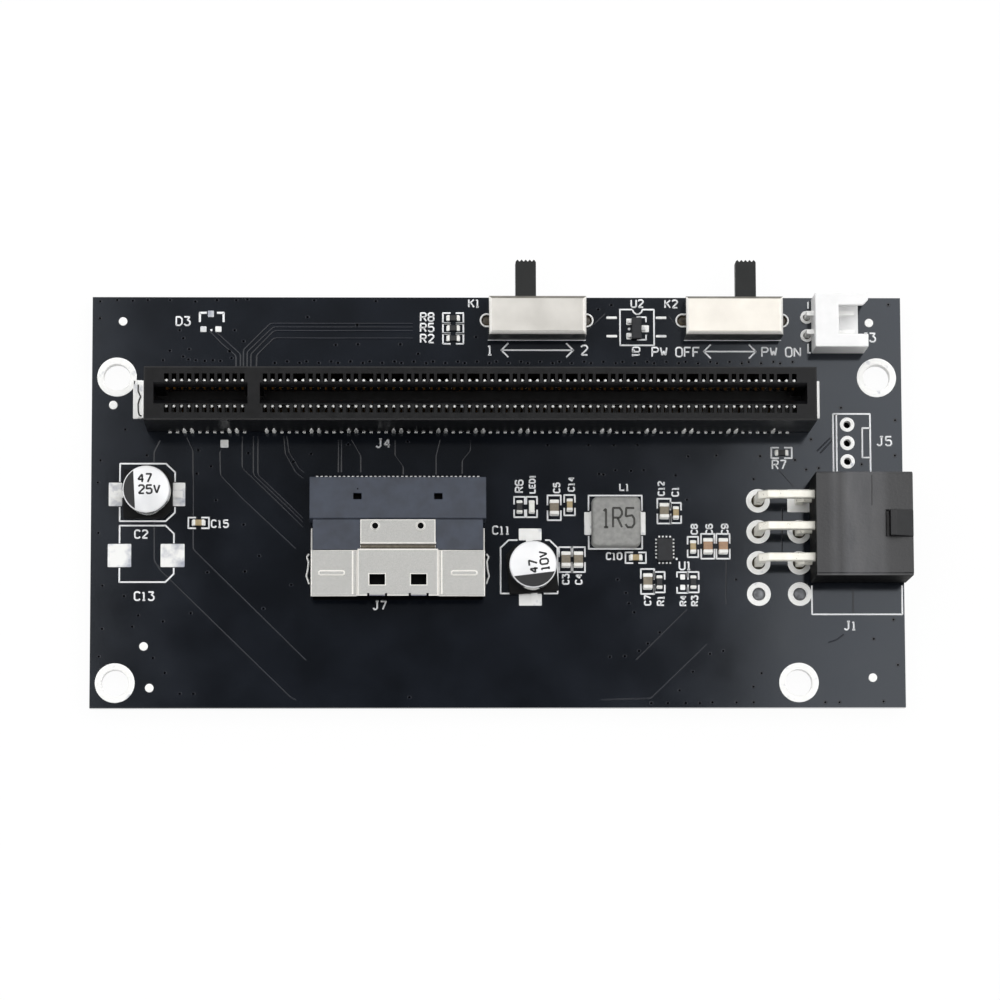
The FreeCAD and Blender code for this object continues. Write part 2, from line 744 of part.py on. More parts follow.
def make_chip(name, size, x, y, turn):
    length, width, height, cap = size
    body = box(half(length - 2 * cap), half(width), (0, height))
    caps = [box((length / 2 - cap, length / 2), half(width), (0, height)),
            box((-length / 2, -length / 2 + cap), half(width), (0, height))]
    add(name, [body] + caps, x, y, turn)


make_board()
make_slot()
make_port()
make_power_header()
make_aux_header()
make_switch("mode_switch", mode_switch_x, mode_rest)
make_switch("power_switch", power_switch_x, power_rest)
make_can_capacitor("input_capacitor", input_can_x, input_can_y, 0)
make_can_capacitor("output_capacitor", regulator_x + output_can_step[0], regulator_y + output_can_step[1],
                   output_can_turn)
make_inductor()
make_regulator()
make_transistor()

resistor_x = mode_switch_x - switch_resistor_gap
for index, name in enumerate(("resistor_8", "resistor_5", "resistor_2")):
    resistor_y = rear - switch_resistor_rear_inset - index * switch_resistor_pitch
    make_chip(name, resistor_size, resistor_x, resistor_y, 0)
make_chip("resistor_7", resistor_size, right - power_resistor_inset, -power_resistor_setback, 0)
make_chip("capacitor_15", small_capacitor_size, input_can_x + input_chip_gap,
          input_can_y - input_chip_step, 0)
for name, size, step, turn in (
        ("resistor_6", resistor_size, resistor_6_step, 90),
        ("indicator_lamp", lamp_size, indicator_lamp_step, 90),
        ("capacitor_5", large_capacitor_size, capacitor_5_step, 90),
        ("capacitor_14", small_capacitor_size, capacitor_14_step, 90),
        ("capacitor_3", large_capacitor_size, capacitor_3_step, 90),
        ("capacitor_4", large_capacitor_size, capacitor_4_step, 90),
        ("capacitor_10", small_capacitor_size, capacitor_10_step, 0),
        ("capacitor_12", large_capacitor_size, capacitor_12_step, 90),
        ("capacitor_1", small_capacitor_size, capacitor_1_step, 90),
        ("capacitor_8", small_capacitor_size, capacitor_8_step, 90),
        ("capacitor_6", large_capacitor_size, capacitor_6_step, 90),
        ("capacitor_9", large_capacitor_size, capacitor_9_step, 90),
        ("capacitor_7", large_capacitor_size, capacitor_7_step, 90),
        ("resistor_1", resistor_size, resistor_1_step, 90),
        ("resistor_3", resistor_size, resistor_3_step, 90)):
    make_chip(name, size, regulator_x + step[0], regulator_y + step[1], turn)

os.makedirs("parts", exist_ok=True)
for name, shape in nodes.items():
    shape.exportStep("parts/" + name + ".step")
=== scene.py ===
import math

import bmesh
import bpy
from mathutils import Matrix, Vector


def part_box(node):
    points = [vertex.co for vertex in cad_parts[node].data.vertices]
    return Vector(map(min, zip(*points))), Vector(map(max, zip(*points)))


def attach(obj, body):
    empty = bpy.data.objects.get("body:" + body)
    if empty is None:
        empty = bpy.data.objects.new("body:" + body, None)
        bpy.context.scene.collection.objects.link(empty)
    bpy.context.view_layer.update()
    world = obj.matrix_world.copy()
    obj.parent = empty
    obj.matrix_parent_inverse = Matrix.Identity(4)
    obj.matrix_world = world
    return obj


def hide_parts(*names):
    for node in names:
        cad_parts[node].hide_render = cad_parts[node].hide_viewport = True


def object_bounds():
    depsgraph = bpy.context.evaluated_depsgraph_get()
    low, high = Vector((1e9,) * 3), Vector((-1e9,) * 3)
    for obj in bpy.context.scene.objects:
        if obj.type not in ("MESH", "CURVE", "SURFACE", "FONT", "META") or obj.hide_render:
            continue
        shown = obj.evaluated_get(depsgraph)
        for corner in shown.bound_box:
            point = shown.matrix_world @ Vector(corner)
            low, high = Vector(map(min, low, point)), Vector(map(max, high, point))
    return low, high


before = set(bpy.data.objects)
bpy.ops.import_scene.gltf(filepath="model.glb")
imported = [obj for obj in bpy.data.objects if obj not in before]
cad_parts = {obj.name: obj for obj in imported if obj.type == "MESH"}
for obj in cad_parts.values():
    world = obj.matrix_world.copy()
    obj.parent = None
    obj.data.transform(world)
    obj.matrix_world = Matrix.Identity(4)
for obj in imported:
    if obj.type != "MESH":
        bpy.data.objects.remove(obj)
cad_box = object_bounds()

# Studio. The card lies on a white sweep in a room with pale walls and a dark ceiling, between a bright
# overhead softbox on the right and a weaker one on the left; a low strip in front picks out rims and
# solder. The camera looks almost straight down.
mm = 0.001
scene = bpy.context.scene
scene.view_settings.view_transform = "Standard"

camera = bpy.data.objects.new("camera", bpy.data.cameras.new("camera"))
camera.data.lens = 162.33
camera.data.sensor_width = 36.0
stand = Matrix.Translation(Vector((-15.884, -93.99, 601.6)) * mm)
for turn, axis in ((0.1282, "X"), (-0.0267, "Y"), (0.0002, "Z")):
    stand = stand @ Matrix.Rotation(turn, 4, axis)
camera.matrix_world = stand
scene.collection.objects.link(camera)
scene.camera = camera


def softbox(name, place, aim, width, depth, power):
    """An oblong lamp at a place, turned to what it is aimed at."""
    lamp = bpy.data.lights.new(name, "AREA")
    lamp.shape = "RECTANGLE"
    lamp.size = width
    lamp.size_y = depth
    lamp.energy = power
    holder = bpy.data.objects.new(name, lamp)
    holder.location = place
    holder.rotation_euler = (Vector(aim) - Vector(place)).to_track_quat("-Z", "Y").to_euler()
    scene.collection.objects.link(holder)


softbox("right_softbox", (0.612, 0.3, 1.1), (0.612, 0.3, 0.0), 0.97, 1.2, 8.5)
softbox("left_softbox", (-0.605, 0.3, 1.1), (-0.605, 0.3, 0.0), 0.95, 1.2, 6.2)
softbox("front_strip", (0.0, -1.2, 0.16), (0.0, 0.0, 0.0), 1.6, 0.1, 2.2)


def feed(tree, socket, value):
    """Sets a socket's value, or links it to the socket that the value comes from."""
    if isinstance(value, bpy.types.NodeSocket):
        tree.links.new(value, socket)
    else:
        socket.default_value = value


def node(tree, kind, settings=None, **feeds):
    """Adds one node to a shader or geometry tree, with its settings and its inputs by name."""
    made = tree.nodes.new(kind)
    for setting, value in (settings or {}).items():
        setattr(made, setting, value)
    for name, value in feeds.items():
        feed(tree, made.inputs[name.replace("_", " ")], value)
    return made


def worked(tree, operation, *values):
    """The result of one operation on one or two numbers."""
    made = node(tree, "ShaderNodeMath", {"operation": operation})
    for socket, value in zip(made.inputs, values):
        feed(tree, socket, value)
    return made.outputs[0]


def graded(tree, guide, low, high, first, last):
    """A level that goes from first to last while its guide goes from low to high."""
    return node(tree, "ShaderNodeMapRange", Value=guide, From_Min=low, From_Max=high, To_Min=first,
                To_Max=last).outputs["Result"]


white = (1.0, 1.0, 1.0, 1.0)
room = bpy.data.worlds.new("room")
room.use_nodes = True
room_tree = room.node_tree
toward = node(room_tree, "ShaderNodeTexCoord").outputs["Generated"]
aim = node(room_tree, "ShaderNodeSeparateXYZ", Vector=toward).outputs
ceiling = graded(room_tree, aim["Y"], 0.13, 0.19, 0.12, 0.4)
walls = graded(room_tree, aim["Z"], 0.25, 0.6, 1.6, ceiling)
rearward = graded(room_tree, aim["Y"], -0.6, 0.1, 0.6, 1.0)
backdrop = room_tree.nodes["Background"]
feed(room_tree, backdrop.inputs["Color"], white)
feed(room_tree, backdrop.inputs["Strength"], worked(room_tree, "MULTIPLY", walls, rearward))
scene.world = room

sweep_paper = bpy.data.materials.new("sweep_paper")
sweep_paper.use_nodes = True
paper_tree = sweep_paper.node_tree
paper_tree.nodes.remove(paper_tree.nodes["Principled BSDF"])
ray = node(paper_tree, "ShaderNodeLightPath").outputs
seen = worked(paper_tree, "MAXIMUM", ray["Is Camera Ray"], ray["Is Glossy Ray"])
seen = worked(paper_tree, "MAXIMUM", seen, ray["Is Transmission Ray"])
whiteness = worked(paper_tree, "MULTIPLY", seen, 0.9)
fibre = node(paper_tree, "ShaderNodeTexNoise", Scale=400.0, Detail=4.0).outputs[0]
pulp = node(paper_tree, "ShaderNodeValToRGB", Fac=fibre)
pulp.color_ramp.elements[0].color = (0.5, 0.5, 0.5, 1.0)
pulp.color_ramp.elements[1].color = (0.54, 0.54, 0.54, 1.0)
paper = node(paper_tree, "ShaderNodeBsdfDiffuse", Color=pulp.outputs["Color"]).outputs[0]
glow = node(paper_tree, "ShaderNodeEmission", Color=white, Strength=1.06).outputs[0]
sheet = node(paper_tree, "ShaderNodeMixShader", Fac=whiteness)
for socket, layer in zip(sheet.inputs[1:], (paper, glow)):
    feed(paper_tree, socket, layer)
feed(paper_tree, paper_tree.nodes["Material Output"].inputs["Surface"], sheet.outputs[0])

floor_reach = 12.0
floor_level = cad_box[0][2] - 0.02 * mm
floor_mesh = bpy.data.meshes.new("sweep")
floor_mesh.from_pydata([(x * floor_reach, y * floor_reach, floor_level)
                        for x, y in ((-1, -1), (1, -1), (1, 1), (-1, 1))], [], [(0, 1, 2, 3)])
floor_mesh.materials.append(sweep_paper)
sweep = bpy.data.objects.new("sweep", floor_mesh)
scene.collection.objects.link(sweep)


# Circuit board. A glass-cloth laminate, routed to its outline, with black solder mask flowed over
# both faces; the cut edge shows the dark cloth layers one above another.
def display(red, green, blue):
    """A colour as a screen shows it, turned into the light levels that a shader takes."""
    def light(level):
        level = level / 255
        return level / 12.92 if level <= 0.04045 else ((level + 0.055) / 1.055) ** 2.4
    return (light(red), light(green), light(blue), 1.0)


def toned(tree, level, dark, light, low, high):
    """A colour that goes from dark to light while a level goes from low to high."""
    ramp = node(tree, "ShaderNodeValToRGB", Fac=level)
    for stop, place, colour in zip(ramp.color_ramp.elements, (low, high), (dark, light)):
        stop.position = place
        stop.color = display(*colour)
    return ramp.outputs["Color"]


noise_span = (0.32, 0.68)


def finish(name, dark, light, gloss, metallic=0.0, drift=0.6, relief=0.0, grain=6.0, along=(1.0, 1.0, 1.0),
           stops=noise_span, specular=0.5):
    """A surface whose colour and roughness wander between two levels; drift and grain are per mm."""
    material = bpy.data.materials.new(name)
    material.use_nodes = True
    tree = material.node_tree
    shader = tree.nodes["Principled BSDF"]
    feed(tree, shader.inputs["Metallic"], metallic)
    feed(tree, shader.inputs["Specular IOR Level"], specular)
    where = node(tree, "ShaderNodeTexCoord").outputs["Object"]
    drawn_out = node(tree, "ShaderNodeMapping", Vector=where, Scale=along).outputs["Vector"]
    wander = node(tree, "ShaderNodeTexNoise", Vector=drawn_out, Scale=drift / mm, Detail=5.0).outputs[0]
    feed(tree, shader.inputs["Base Color"], toned(tree, wander, dark, light, *stops))
    feed(tree, shader.inputs["Roughness"], graded(tree, wander, *noise_span, *gloss))
    if relief:
        fine = node(tree, "ShaderNodeTexNoise", Vector=where, Scale=grain / mm, Detail=3.0).outputs[0]
        bump = node(tree, "ShaderNodeBump", Height=fine, Distance=relief * mm)
        feed(tree, shader.inputs["Normal"], bump.outputs["Normal"])
    return material


def overlaid(tree, shader, blend, share, first, second):
    """Lays a second colour over the first and makes the result the shader's own colour."""
    mix = node(tree, "ShaderNodeMix", {"data_type": "RGBA", "blend_type": blend})
    for place, value in ((0, share), (6, first), (7, second)):
        feed(tree, mix.inputs[place], value)
    feed(tree, shader.inputs["Base Color"], mix.outputs[2])


solder_mask = finish("solder_mask", (12, 15, 21), (19, 23, 31), (0.09, 0.13), drift=0.12, relief=0.0006,
                     grain=2.5)
mask_tree = solder_mask.node_tree
mask_shader = mask_tree.nodes["Principled BSDF"]
feed(mask_tree, mask_shader.inputs["Specular Tint"], (0.86, 0.92, 1.0, 1.0))
mask_place = node(mask_tree, "ShaderNodeTexCoord").outputs
mask_colour = mask_shader.inputs["Base Color"].links[0].from_socket
cloth = node(mask_tree, "ShaderNodeTexWave", {"wave_type": "BANDS", "bands_direction": "Z"},
             Vector=mask_place["Object"], Scale=1.6 / mm, Distortion=1.5, Detail=3.0).outputs["Fac"]
cut_edge = toned(mask_tree, cloth, (30, 29, 27), (74, 68, 56), 0.2, 0.9)
upward = node(mask_tree, "ShaderNodeSeparateXYZ", Vector=mask_place["Normal"]).outputs["Z"]
on_face = worked(mask_tree, "GREATER_THAN", worked(mask_tree, "ABSOLUTE", upward), 0.5)
overlaid(mask_tree, mask_shader, "MIX", on_face, cut_edge, mask_colour)


def coat(name, material):
    """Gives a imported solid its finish."""
    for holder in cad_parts[name].material_slots:
        holder.material = material


coat("circuit_board", solder_mask)
board_top = 1.6


# Copper under the mask. Etched tracks and tented vias that only show as low ridges in the black mask,
# because the mask flows over their edges; each via's dimple is painted shade, a flat near-black disc.
def tree_start(name, **kinds):
    """A new tree with its named inputs."""
    tree = bpy.data.node_groups.new(name, "GeometryNodeTree")
    for socket, kind in kinds.items():
        tree.interface.new_socket(socket, in_out="INPUT", socket_type="NodeSocket" + kind)
    tree.interface.new_socket("Made", in_out="OUTPUT", socket_type="NodeSocketGeometry")
    return tree, node(tree, "NodeGroupInput").outputs


def tree_end(tree, made, material):
    """Makes copies real and gives them their finish."""
    solid = node(tree, "GeometryNodeRealizeInstances", Geometry=made).outputs["Geometry"]
    coated = node(tree, "GeometryNodeSetMaterial", Geometry=solid, Material=material).outputs["Geometry"]
    node(tree, "NodeGroupOutput", Made=coated)
    return tree


def drawn_line_tree():
    """Every run of edges becomes a flat strip of one width and thickness, with eased corners."""
    tree, given = tree_start("drawn_line", Paths="Geometry", Width="Float", Thickness="Float", Corner="Float",
                             Finish="Material")
    path = node(tree, "GeometryNodeMeshToCurve", Mesh=given["Paths"]).outputs["Curve"]
    eased = node(tree, "GeometryNodeFilletCurve", {"mode": "POLY"}, Curve=path, Radius=given["Corner"],
                 Limit_Radius=True, Count=3).outputs["Curve"]
    level = node(tree, "GeometryNodeSetCurveNormal", {"mode": "Z_UP"}, Curve=eased).outputs["Curve"]
    section = node(tree, "GeometryNodeCurvePrimitiveQuadrilateral", Width=given["Width"],
                   Height=given["Thickness"]).outputs["Curve"]
    strip = node(tree, "GeometryNodeCurveToMesh", Curve=level, Profile_Curve=section, Fill_Caps=True)
    return tree_end(tree, strip.outputs["Mesh"], given["Finish"])


def set_out_tree():
    """One copy of a small piece stands at every point."""
    tree, given = tree_start("set_out", Points="Geometry", Piece="Object", Finish="Material")
    shape = node(tree, "GeometryNodeObjectInfo", Object=given["Piece"]).outputs["Geometry"]
    copies = node(tree, "GeometryNodeInstanceOnPoints", Points=given["Points"], Instance=shape)
    return tree_end(tree, copies.outputs["Instances"], given["Finish"])


def shown(name, mesh):
    """Stands a mesh in the scene."""
    thing = bpy.data.objects.new(name, mesh)
    scene.collection.objects.link(thing)
    return thing


def grown(seed_mesh, tree, **inputs):
    """Runs a tree on a mesh of points or edges drawn in mm, and gives back the plain mesh, in mm."""
    seed = shown("seed", seed_mesh)
    grow = seed.modifiers.new("grow", "NODES")
    grow.node_group = tree
    for socket in tree.interface.items_tree:
        if socket.in_out == "INPUT" and socket.name in inputs:
            grow[socket.identifier] = inputs[socket.name]
    ready = seed.evaluated_get(bpy.context.evaluated_depsgraph_get())
    mesh = bpy.data.meshes.new_from_object(ready)
    bpy.data.objects.remove(seed)
    return mesh


drawn_line = drawn_line_tree()
set_out = set_out_tree()


def drawn(paths, level, width, thickness, corner, material):
    """Flat strips that follow runs of points on one level."""
    mesh = bpy.data.meshes.new("paths")
    points, edges = [], []
    for path in paths:
        edges += [(len(points) + index, len(points) + index + 1) for index in range(len(path) - 1)]
        points += [(x, y, level) for x, y in path]
    mesh.from_pydata(points, edges, [])
    return grown(mesh, drawn_line, Width=width, Thickness=thickness, Corner=corner, Finish=material)


def piece(name, meshes, body="card", stands_for=()):
    """Joins meshes made in mm into one object, in metres, that rides on a body."""
    form = bmesh.new()
    materials = []
    for mesh in meshes:
        first = len(form.faces)
        form.from_mesh(mesh)
        form.faces.ensure_lookup_table()
        for face in form.faces[first:]:
            material = mesh.materials[face.material_index]
            if material not in materials:
                materials.append(material)
            face.material_index = materials.index(material)
    bmesh.ops.scale(form, vec=(mm, mm, mm), verts=form.verts)
    joined = bpy.data.meshes.new(name)
    form.to_mesh(joined)
    form.free()
    for material in materials:
        joined.materials.append(material)
    thing = shown(name, joined)
    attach(thing, body)
    if stands_for:
        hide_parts(*stands_for)
    return thing


def closed(form, material, smooth=False):
    """Turns a bmesh of closed shells into a mesh whose faces point outwards."""
    bmesh.ops.recalc_face_normals(form, faces=form.faces)
    mesh = bpy.data.meshes.new("shells")
    form.to_mesh(mesh)
    form.free()
    mesh.materials.append(material)
    for face in mesh.polygons:
        face.use_smooth = smooth
    return mesh


def repeated(form, places, material, smooth=False):
    """One small shape, drawn about the origin, at many places on top of the board."""
    template = shown("template", closed(form, material, smooth))
    points = bpy.data.meshes.new("points")
    points.from_pydata([(x, y, board_top) for x, y in places], [], [])
    mesh = grown(points, set_out, Piece=template, Finish=material)
    bpy.data.objects.remove(template)
    return mesh


def turned(form, profile, x, y, sides):
    """Adds a solid of revolution about an upright line; a profile point on the line closes the shell."""
    angles = [2 * math.pi * index / sides for index in range(sides)]
    rings = []
    for radius, level in profile:
        spots = [(radius * math.cos(angle), radius * math.sin(angle)) for angle in angles]
        if radius == 0:
            spots = spots[:1]
        rings.append([form.verts.new((x + across, y + along, level)) for across, along in spots])
    for lower, upper in zip(rings, rings[1:]):
        for index in range(sides):
            after = (index + 1) % sides
            corners = [lower[index % len(lower)], lower[after % len(lower)],
                       upper[after % len(upper)], upper[index % len(upper)]]
            form.faces.new(list(dict.fromkeys(corners)))
    return form


track_width = 0.2
track_rise = 0.012
tracks = [
    [(-45.3, -8.6), (-46.1, -10.2), (-46.0, -24.8), (-45.2, -26.1), (-27.8, -43.1), (-27.0, -43.5)],
    [(-41.7, -8.2), (-40.9, -9.9), (-40.8, -23.3), (-25.7, -38.2)],
    [(-36.7, -9.4), (-37.3, -10.0), (-37.2, -13.3), (-34.2, -16.5), (-27.1, -23.2)],
    [(-34.3, -8.0), (-34.3, -12.3), (-26.1, -20.3)], [(-32.8, -8.0), (-32.8, -13.2), (-26.1, -19.6)],
    [(-32.2, -8.0), (-32.2, -13.2), (-26.1, -19.1)],
    [(-28.7, -8.0), (-28.5, -10.4), (-27.1, -12.9), (-26.1, -13.7)],
    [(-28.3, -8.0), (-28.0, -10.2), (-26.7, -12.3), (-26.0, -12.9)],
    [(-34.6, 0.4), (-34.6, 3.1), (-37.1, 5.4), (-38.1, 6.3)],
    [(-35.2, 0.4), (-35.2, 2.9), (-37.1, 4.5), (-38.8, 6.3)],
    [(-33.7, 0.4), (-33.7, 3.4), (-30.2, 6.8), (-11.4, 6.8)],
    [(-33.2, 0.4), (-33.2, 3.1), (-30.1, 6.3), (-11.4, 6.3)],
    [(-32.5, 0.4), (-32.4, 3.0), (-30.1, 5.3), (-11.4, 5.3)],
    [(-34.2, 0.4), (-34.2, 3.7), (-30.6, 7.3), (-11.4, 7.3)],
    [(12.0, 6.3), (14.6, 8.7)], [(23.1, 8.4), (24.8, 6.3)], [(37.8, -12.5), (39.8, -14.8)],
    [(43.0, -10.0), (44.8, -8.2)], [(43.4, -10.3), (45.1, -8.5)], [(18.4, -38.2), (25.3, -31.4)],
    [(13.7, -43.5), (20.4, -43.3), (27.9, -36.1)], [(30.6, -24.8), (30.5, -30.7)],
    [(38.2, -17.6), (38.1, -24.4)], [(46.3, -34.8), (45.2, -35.6), (44.2, -35.9)],
    [(47.6, -28.2), (47.6, -32.0)], [(-21.4, -8.5), (-21.4, -12.9)], [(-21.0, -8.5), (-21.0, -12.9)],
    [(-19.6, -8.5), (-18.4, -10.6), (-18.4, -12.9)],
    [(-13.8, -8.5), (-13.8, -10.6), (-12.7, -12.1), (-12.7, -13.2)],
    [(-7.8, -8.5), (-8.3, -10.6), (-8.3, -13.2)], [(-3.7, -8.5), (-3.7, -9.9), (-4.8, -11.3), (-4.8, -13.1)],
]
track_mask = finish("mask_over_track", (15, 19, 28), (22, 27, 38), (0.11, 0.15), drift=0.3)
track_mesh = drawn(tracks, board_top, track_width, 2 * track_rise, 0.6, track_mask)
piece("copper_tracks", [track_mesh])

via_places = [
    (-53.5, 10.3), (-51.2, 10.5), (-49.1, 10.4), (-47.1, 10.5), (-44.1, 10.5), (-40.7, 10.3), (-37.8, 10.5),
    (-35.2, 10.5), (-33.7, 10.6), (-24.7, 10.5), (-16.4, 10.4), (-53.5, 8.0), (-44.1, 3.6), (-42.8, 6.4),
    (-42.3, 5.3), (-41.5, 3.8), (-42.3, 2.8),
    (-45.0, 2.3), (-41.6, 2.4), (-40.6, 2.3), (-39.4, 2.2), (-38.3, 2.3), (-37.3, 2.2), (-35.8, 2.6),
    (-36.1, 3.5), (-35.4, 6.4), (-34.2, 4.9), (-25.6, 8.2), (-18.9, 7.1), (-21.8, 4.4), (-18.8, 4.5),
    (-13.1, 4.5), (-10.7, 3.2), (-2.9, 5.5), (-47.1, -10.6), (-38.5, -12.1), (-40.2, -9.9),
    (-40.4, -13.1), (-37.8, -16.7), (-50.0, -7.1), (-53.3, -11.3), (-53.6, -14.3), (-33.5, -10.3),
    (-27.5, -11.5), (-25.1, -10.4), (-20.1, -9.1), (-12.1, -8.7), (52.9, 10.0), (46.3, -4.1),
    (53.6, -5.8), (53.5, -10.6), (25.6, -10.7), (29.4, -10.6), (35.3, -10.7), (34.4, -13.8),
    (23.9, -13.3), (19.6, -12.6), (17.9, -12.7), (15.8, -12.6), (14.2, -13.2), (13.6, -13.1),
    (40.0, -11.2), (41.5, -12.5), (43.2, -12.3), (42.2, -8.4), (15.6, -9.2), (18.8, -9.2), (6.7, -9.2),
    (12.2, -9.2), (49.0, -11.8), (13.6, 9.3), (15.4, 9.9), (-52.9, -28.2), (-52.9, -34.0),
    (-53.5, -21.1), (-53.3, -37.7), (-41.1, -31.9), (-38.9, -26.4), (-33.9, -26.3), (-32.0, -24.2),
    (-34.1, -20.0), (-50.0, -29.6), (-48.1, -32.2), (-48.9, -33.7), (-46.1, -37.9), (-44.5, -39.9),
    (-42.5, -42.7), (-40.7, -42.7), (-44.8, -33.0), (-27.7, -28.1), (-31.4, -31.3), (-11.9, -43.2),
    (25.4, -16.6), (31.9, -27.4), (30.1, -37.0), (28.3, -37.4), (26.0, -39.8), (24.2, -42.3),
    (35.2, -40.0), (34.1, -41.8), (16.0, -27.4), (17.1, -29.2), (17.5, -30.6), (18.2, -31.8),
    (14.9, -37.8), (16.9, -37.7), (18.8, -37.0), (20.0, -36.0), (21.6, -34.5), (53.0, -32.8),
    (50.3, -35.4), (53.5, -38.9), (51.5, -43.8), (45.6, -43.9), (43.7, -43.9), (34.1, -43.9),
    (31.8, -43.9), (28.6, -43.9), (26.9, -44.0), (25.0, -44.0), (22.6, -44.0), (20.4, -44.0),
]
slot_via_level = 1.95
slot_via_first = -30.0
slot_via_step = 1.42
slot_via_count = 50
via_places += [(slot_via_first + index * slot_via_step + 0.25 * (index % 3),
                slot_via_level + 0.2 * (index % 2)) for index in range(slot_via_count)]
# Painted shade: a near-black finish with no reflection for each via's dimple; it also serves as the real
# black tenting under the spare header's holes.
tented_black_and_shade = finish("tented_hole_and_dimple_shade", (4, 4, 5), (9, 9, 10), (0.7, 0.8), drift=3.0, specular=0.0)
sunk = 0.01
via_rim = [(0.32, -sunk), (0.26, track_rise), (0.15, track_rise), (0.15, -sunk), (0.32, -sunk)]
via_dimple_shade = [(0.0, -sunk), (0.14, -sunk), (0.14, 0.015), (0.0, 0.015)]
piece("tented_vias", [repeated(turned(bmesh.new(), profile, 0.0, 0.0, 10), via_places, material)
                      for profile, material in ((via_rim, track_mask), (via_dimple_shade, tented_black_and_shade))])

# Tinned pads. Bare copper lands, levelled with solder at the board house, and plated holes whose
# barrels run through to a land on the underside; some are left empty for parts that are not fitted.
tin = finish("solder_tin", (184, 188, 197), (251, 251, 249), (0.3, 0.46), metallic=0.12, drift=0.7,
             relief=0.015, grain=1.6, stops=(0.24, 0.39))
spare_tin = finish("spare_tin", (168, 172, 184), (247, 247, 245), (0.3, 0.46), metallic=0.12, drift=0.45,
                   relief=0.015, grain=1.6, stops=(0.3, 0.5))
pad_rise = 0.05
edge_rise = 0.6 * pad_rise


def rounded_outline(width, depth, corner):
    """Corners of a flat rounded oblong about the origin, four points to each corner."""
    outline = []
    for quarter, (side, end) in enumerate(((1, 1), (-1, 1), (-1, -1), (1, -1))):
        for part in range(4):
            angle = math.pi / 2 * (quarter + part / 3)
            outline.append((side * (width / 2 - corner) + corner * math.cos(angle),
                            end * (depth / 2 - corner) + corner * math.sin(angle)))
    return outline


def low_plate(form, x, y, width, depth, level, rise, corner=0.12, shoulder=0.1, turn=0.0):
    """Adds a land with softly rounded shoulders, standing on a level."""
    spin = Matrix.Rotation(math.radians(turn), 2)
    rings = []
    for inset, height in ((0.0, -sunk), (0.0, 0.5 * rise), (shoulder, rise)):
        ring = rounded_outline(width - 2 * inset, depth - 2 * inset, max(corner - inset, 0.02))
        placed = [spin @ Vector(point) for point in ring]
        rings.append([form.verts.new((x + point.x, y + point.y, level + height)) for point in placed])
    for lower, upper in zip(rings, rings[1:]):
        for index in range(len(lower)):
            after = (index + 1) % len(lower)
            form.faces.new((lower[index], lower[after], upper[after], upper[index]))
    form.faces.new(rings[-1])
    form.faces.new(rings[0])
    return form


def plated_hole(form, x, y, land, drill, sides):
    """Adds a tinned barrel with a land on each face of the board."""
    outer, inner = land / 2, drill / 2
    shoulder, lip, case_light_tone = outer - 0.1, inner + 0.05, inner + 0.02
    turned(form, [(outer, board_top - sunk), (outer, board_top + edge_rise), (shoulder, board_top + pad_rise),
                  (lip, board_top + pad_rise), (inner, board_top), (inner, 0.0), (lip, -pad_rise),
                  (shoulder, -pad_rise), (outer, -edge_rise), (outer, sunk), (case_light_tone, sunk),
                  (case_light_tone, board_top - sunk), (outer, board_top - sunk)], x, y, sides)


mount_places = [(-51.15, 0.0), (51.15, 0.0), (-51.15, -41.25), (40.2, -41.25)]
spare_header_places = [(47.1, -6.4), (47.1, -8.9), (47.1, -11.4)]
power_columns = (34.95, 40.45)
power_rows = (-16.75, -20.95, -25.15, -29.35)
power_places = [(x, y) for x in power_columns for y in power_rows]
spare_power_places = [place for place in power_places if place[1] == power_rows[3]]
pin_places = [place for place in power_places if place not in spare_power_places]
square_place = (power_columns[1], power_rows[0])
round_places = [place for place in power_places if place != square_place]
aux_places = [(41.82, 8.25), (41.82, 5.75)]
switch_row = 7.8
switch_lug_places = [(x, switch_row) for x in (-1.43, 12.02, 25.0, 38.44)]
terminal_places = [(middle + step, switch_row) for middle in (5.3, 31.72) for step in (-3.15, 0.0, 3.15)]
lands = bmesh.new()
for places, land, drill, sides in (
        (mount_places, 5.3, 3.56, 48), (spare_header_places, 1.95, 0.96, 32), (round_places, 3.2, 1.76, 32),
        (aux_places, 1.75, 0.96, 32), (switch_lug_places, 1.9, 1.46, 32), (terminal_places, 1.5, 0.86, 32)):
    for x, y in places:
        plated_hole(lands, x, y, land, drill, sides)
fiducials = [(-50.4, 7.58), (-51.63, -3.8), (-47.35, -36.35), (-46.55, -41.92), (50.23, 7.49),
             (50.11, -40.61)]
for x, y in fiducials:
    turned(lands, [(0.0, board_top - sunk), (0.575, board_top - sunk), (0.575, board_top + edge_rise),
                   (0.5, board_top + pad_rise), (0.0, board_top + pad_rise)], x, y, 24)
square_land = low_plate(bmesh.new(), *square_place, 3.1, 3.1, board_top, pad_rise)
bare_lands = [
    (-38.6, 8.62, 0.8, 0.88), (-39.6, 6.54, 0.82, 0.78), (-37.58, 6.54, 0.82, 0.78),
    (-36.7, -9.04, 1.07, 1.07), (17.77, 7.61, 0.72, 0.88), (17.76, 5.65, 0.72, 0.88),
    (19.95, 6.67, 1.0, 0.95), (15.43, 8.16, 1.45, 0.34), (15.43, 5.64, 1.45, 0.34),
    (22.1, 8.16, 1.45, 0.34), (22.1, 5.64, 1.45, 0.34),
    (-50.65, -24.14, 3.13, 3.12), (-43.56, -24.14, 3.2, 3.12), (24.73, -27.05, 0.66, 0.7),
    (24.73, -28.45, 0.66, 0.7), (-51.24, -15.9, 1.8, 3.17), (-42.75, -15.9, 1.67, 3.17),
    (4.3, -21.3, 3.05, 1.6), (4.3, -30.1, 3.05, 1.6), (12.1, -19.82, 1.06, 3.1), (19.2, -19.82, 1.2, 3.1),
    (-48.35, -3.05, 1.25, 5.25), (42.9, -3.05, 1.0, 5.15),
]
patchy_lands = bmesh.new()
for x, y, width, depth in bare_lands:
    low_plate(patchy_lands, x, y, width, depth, board_top, pad_rise)
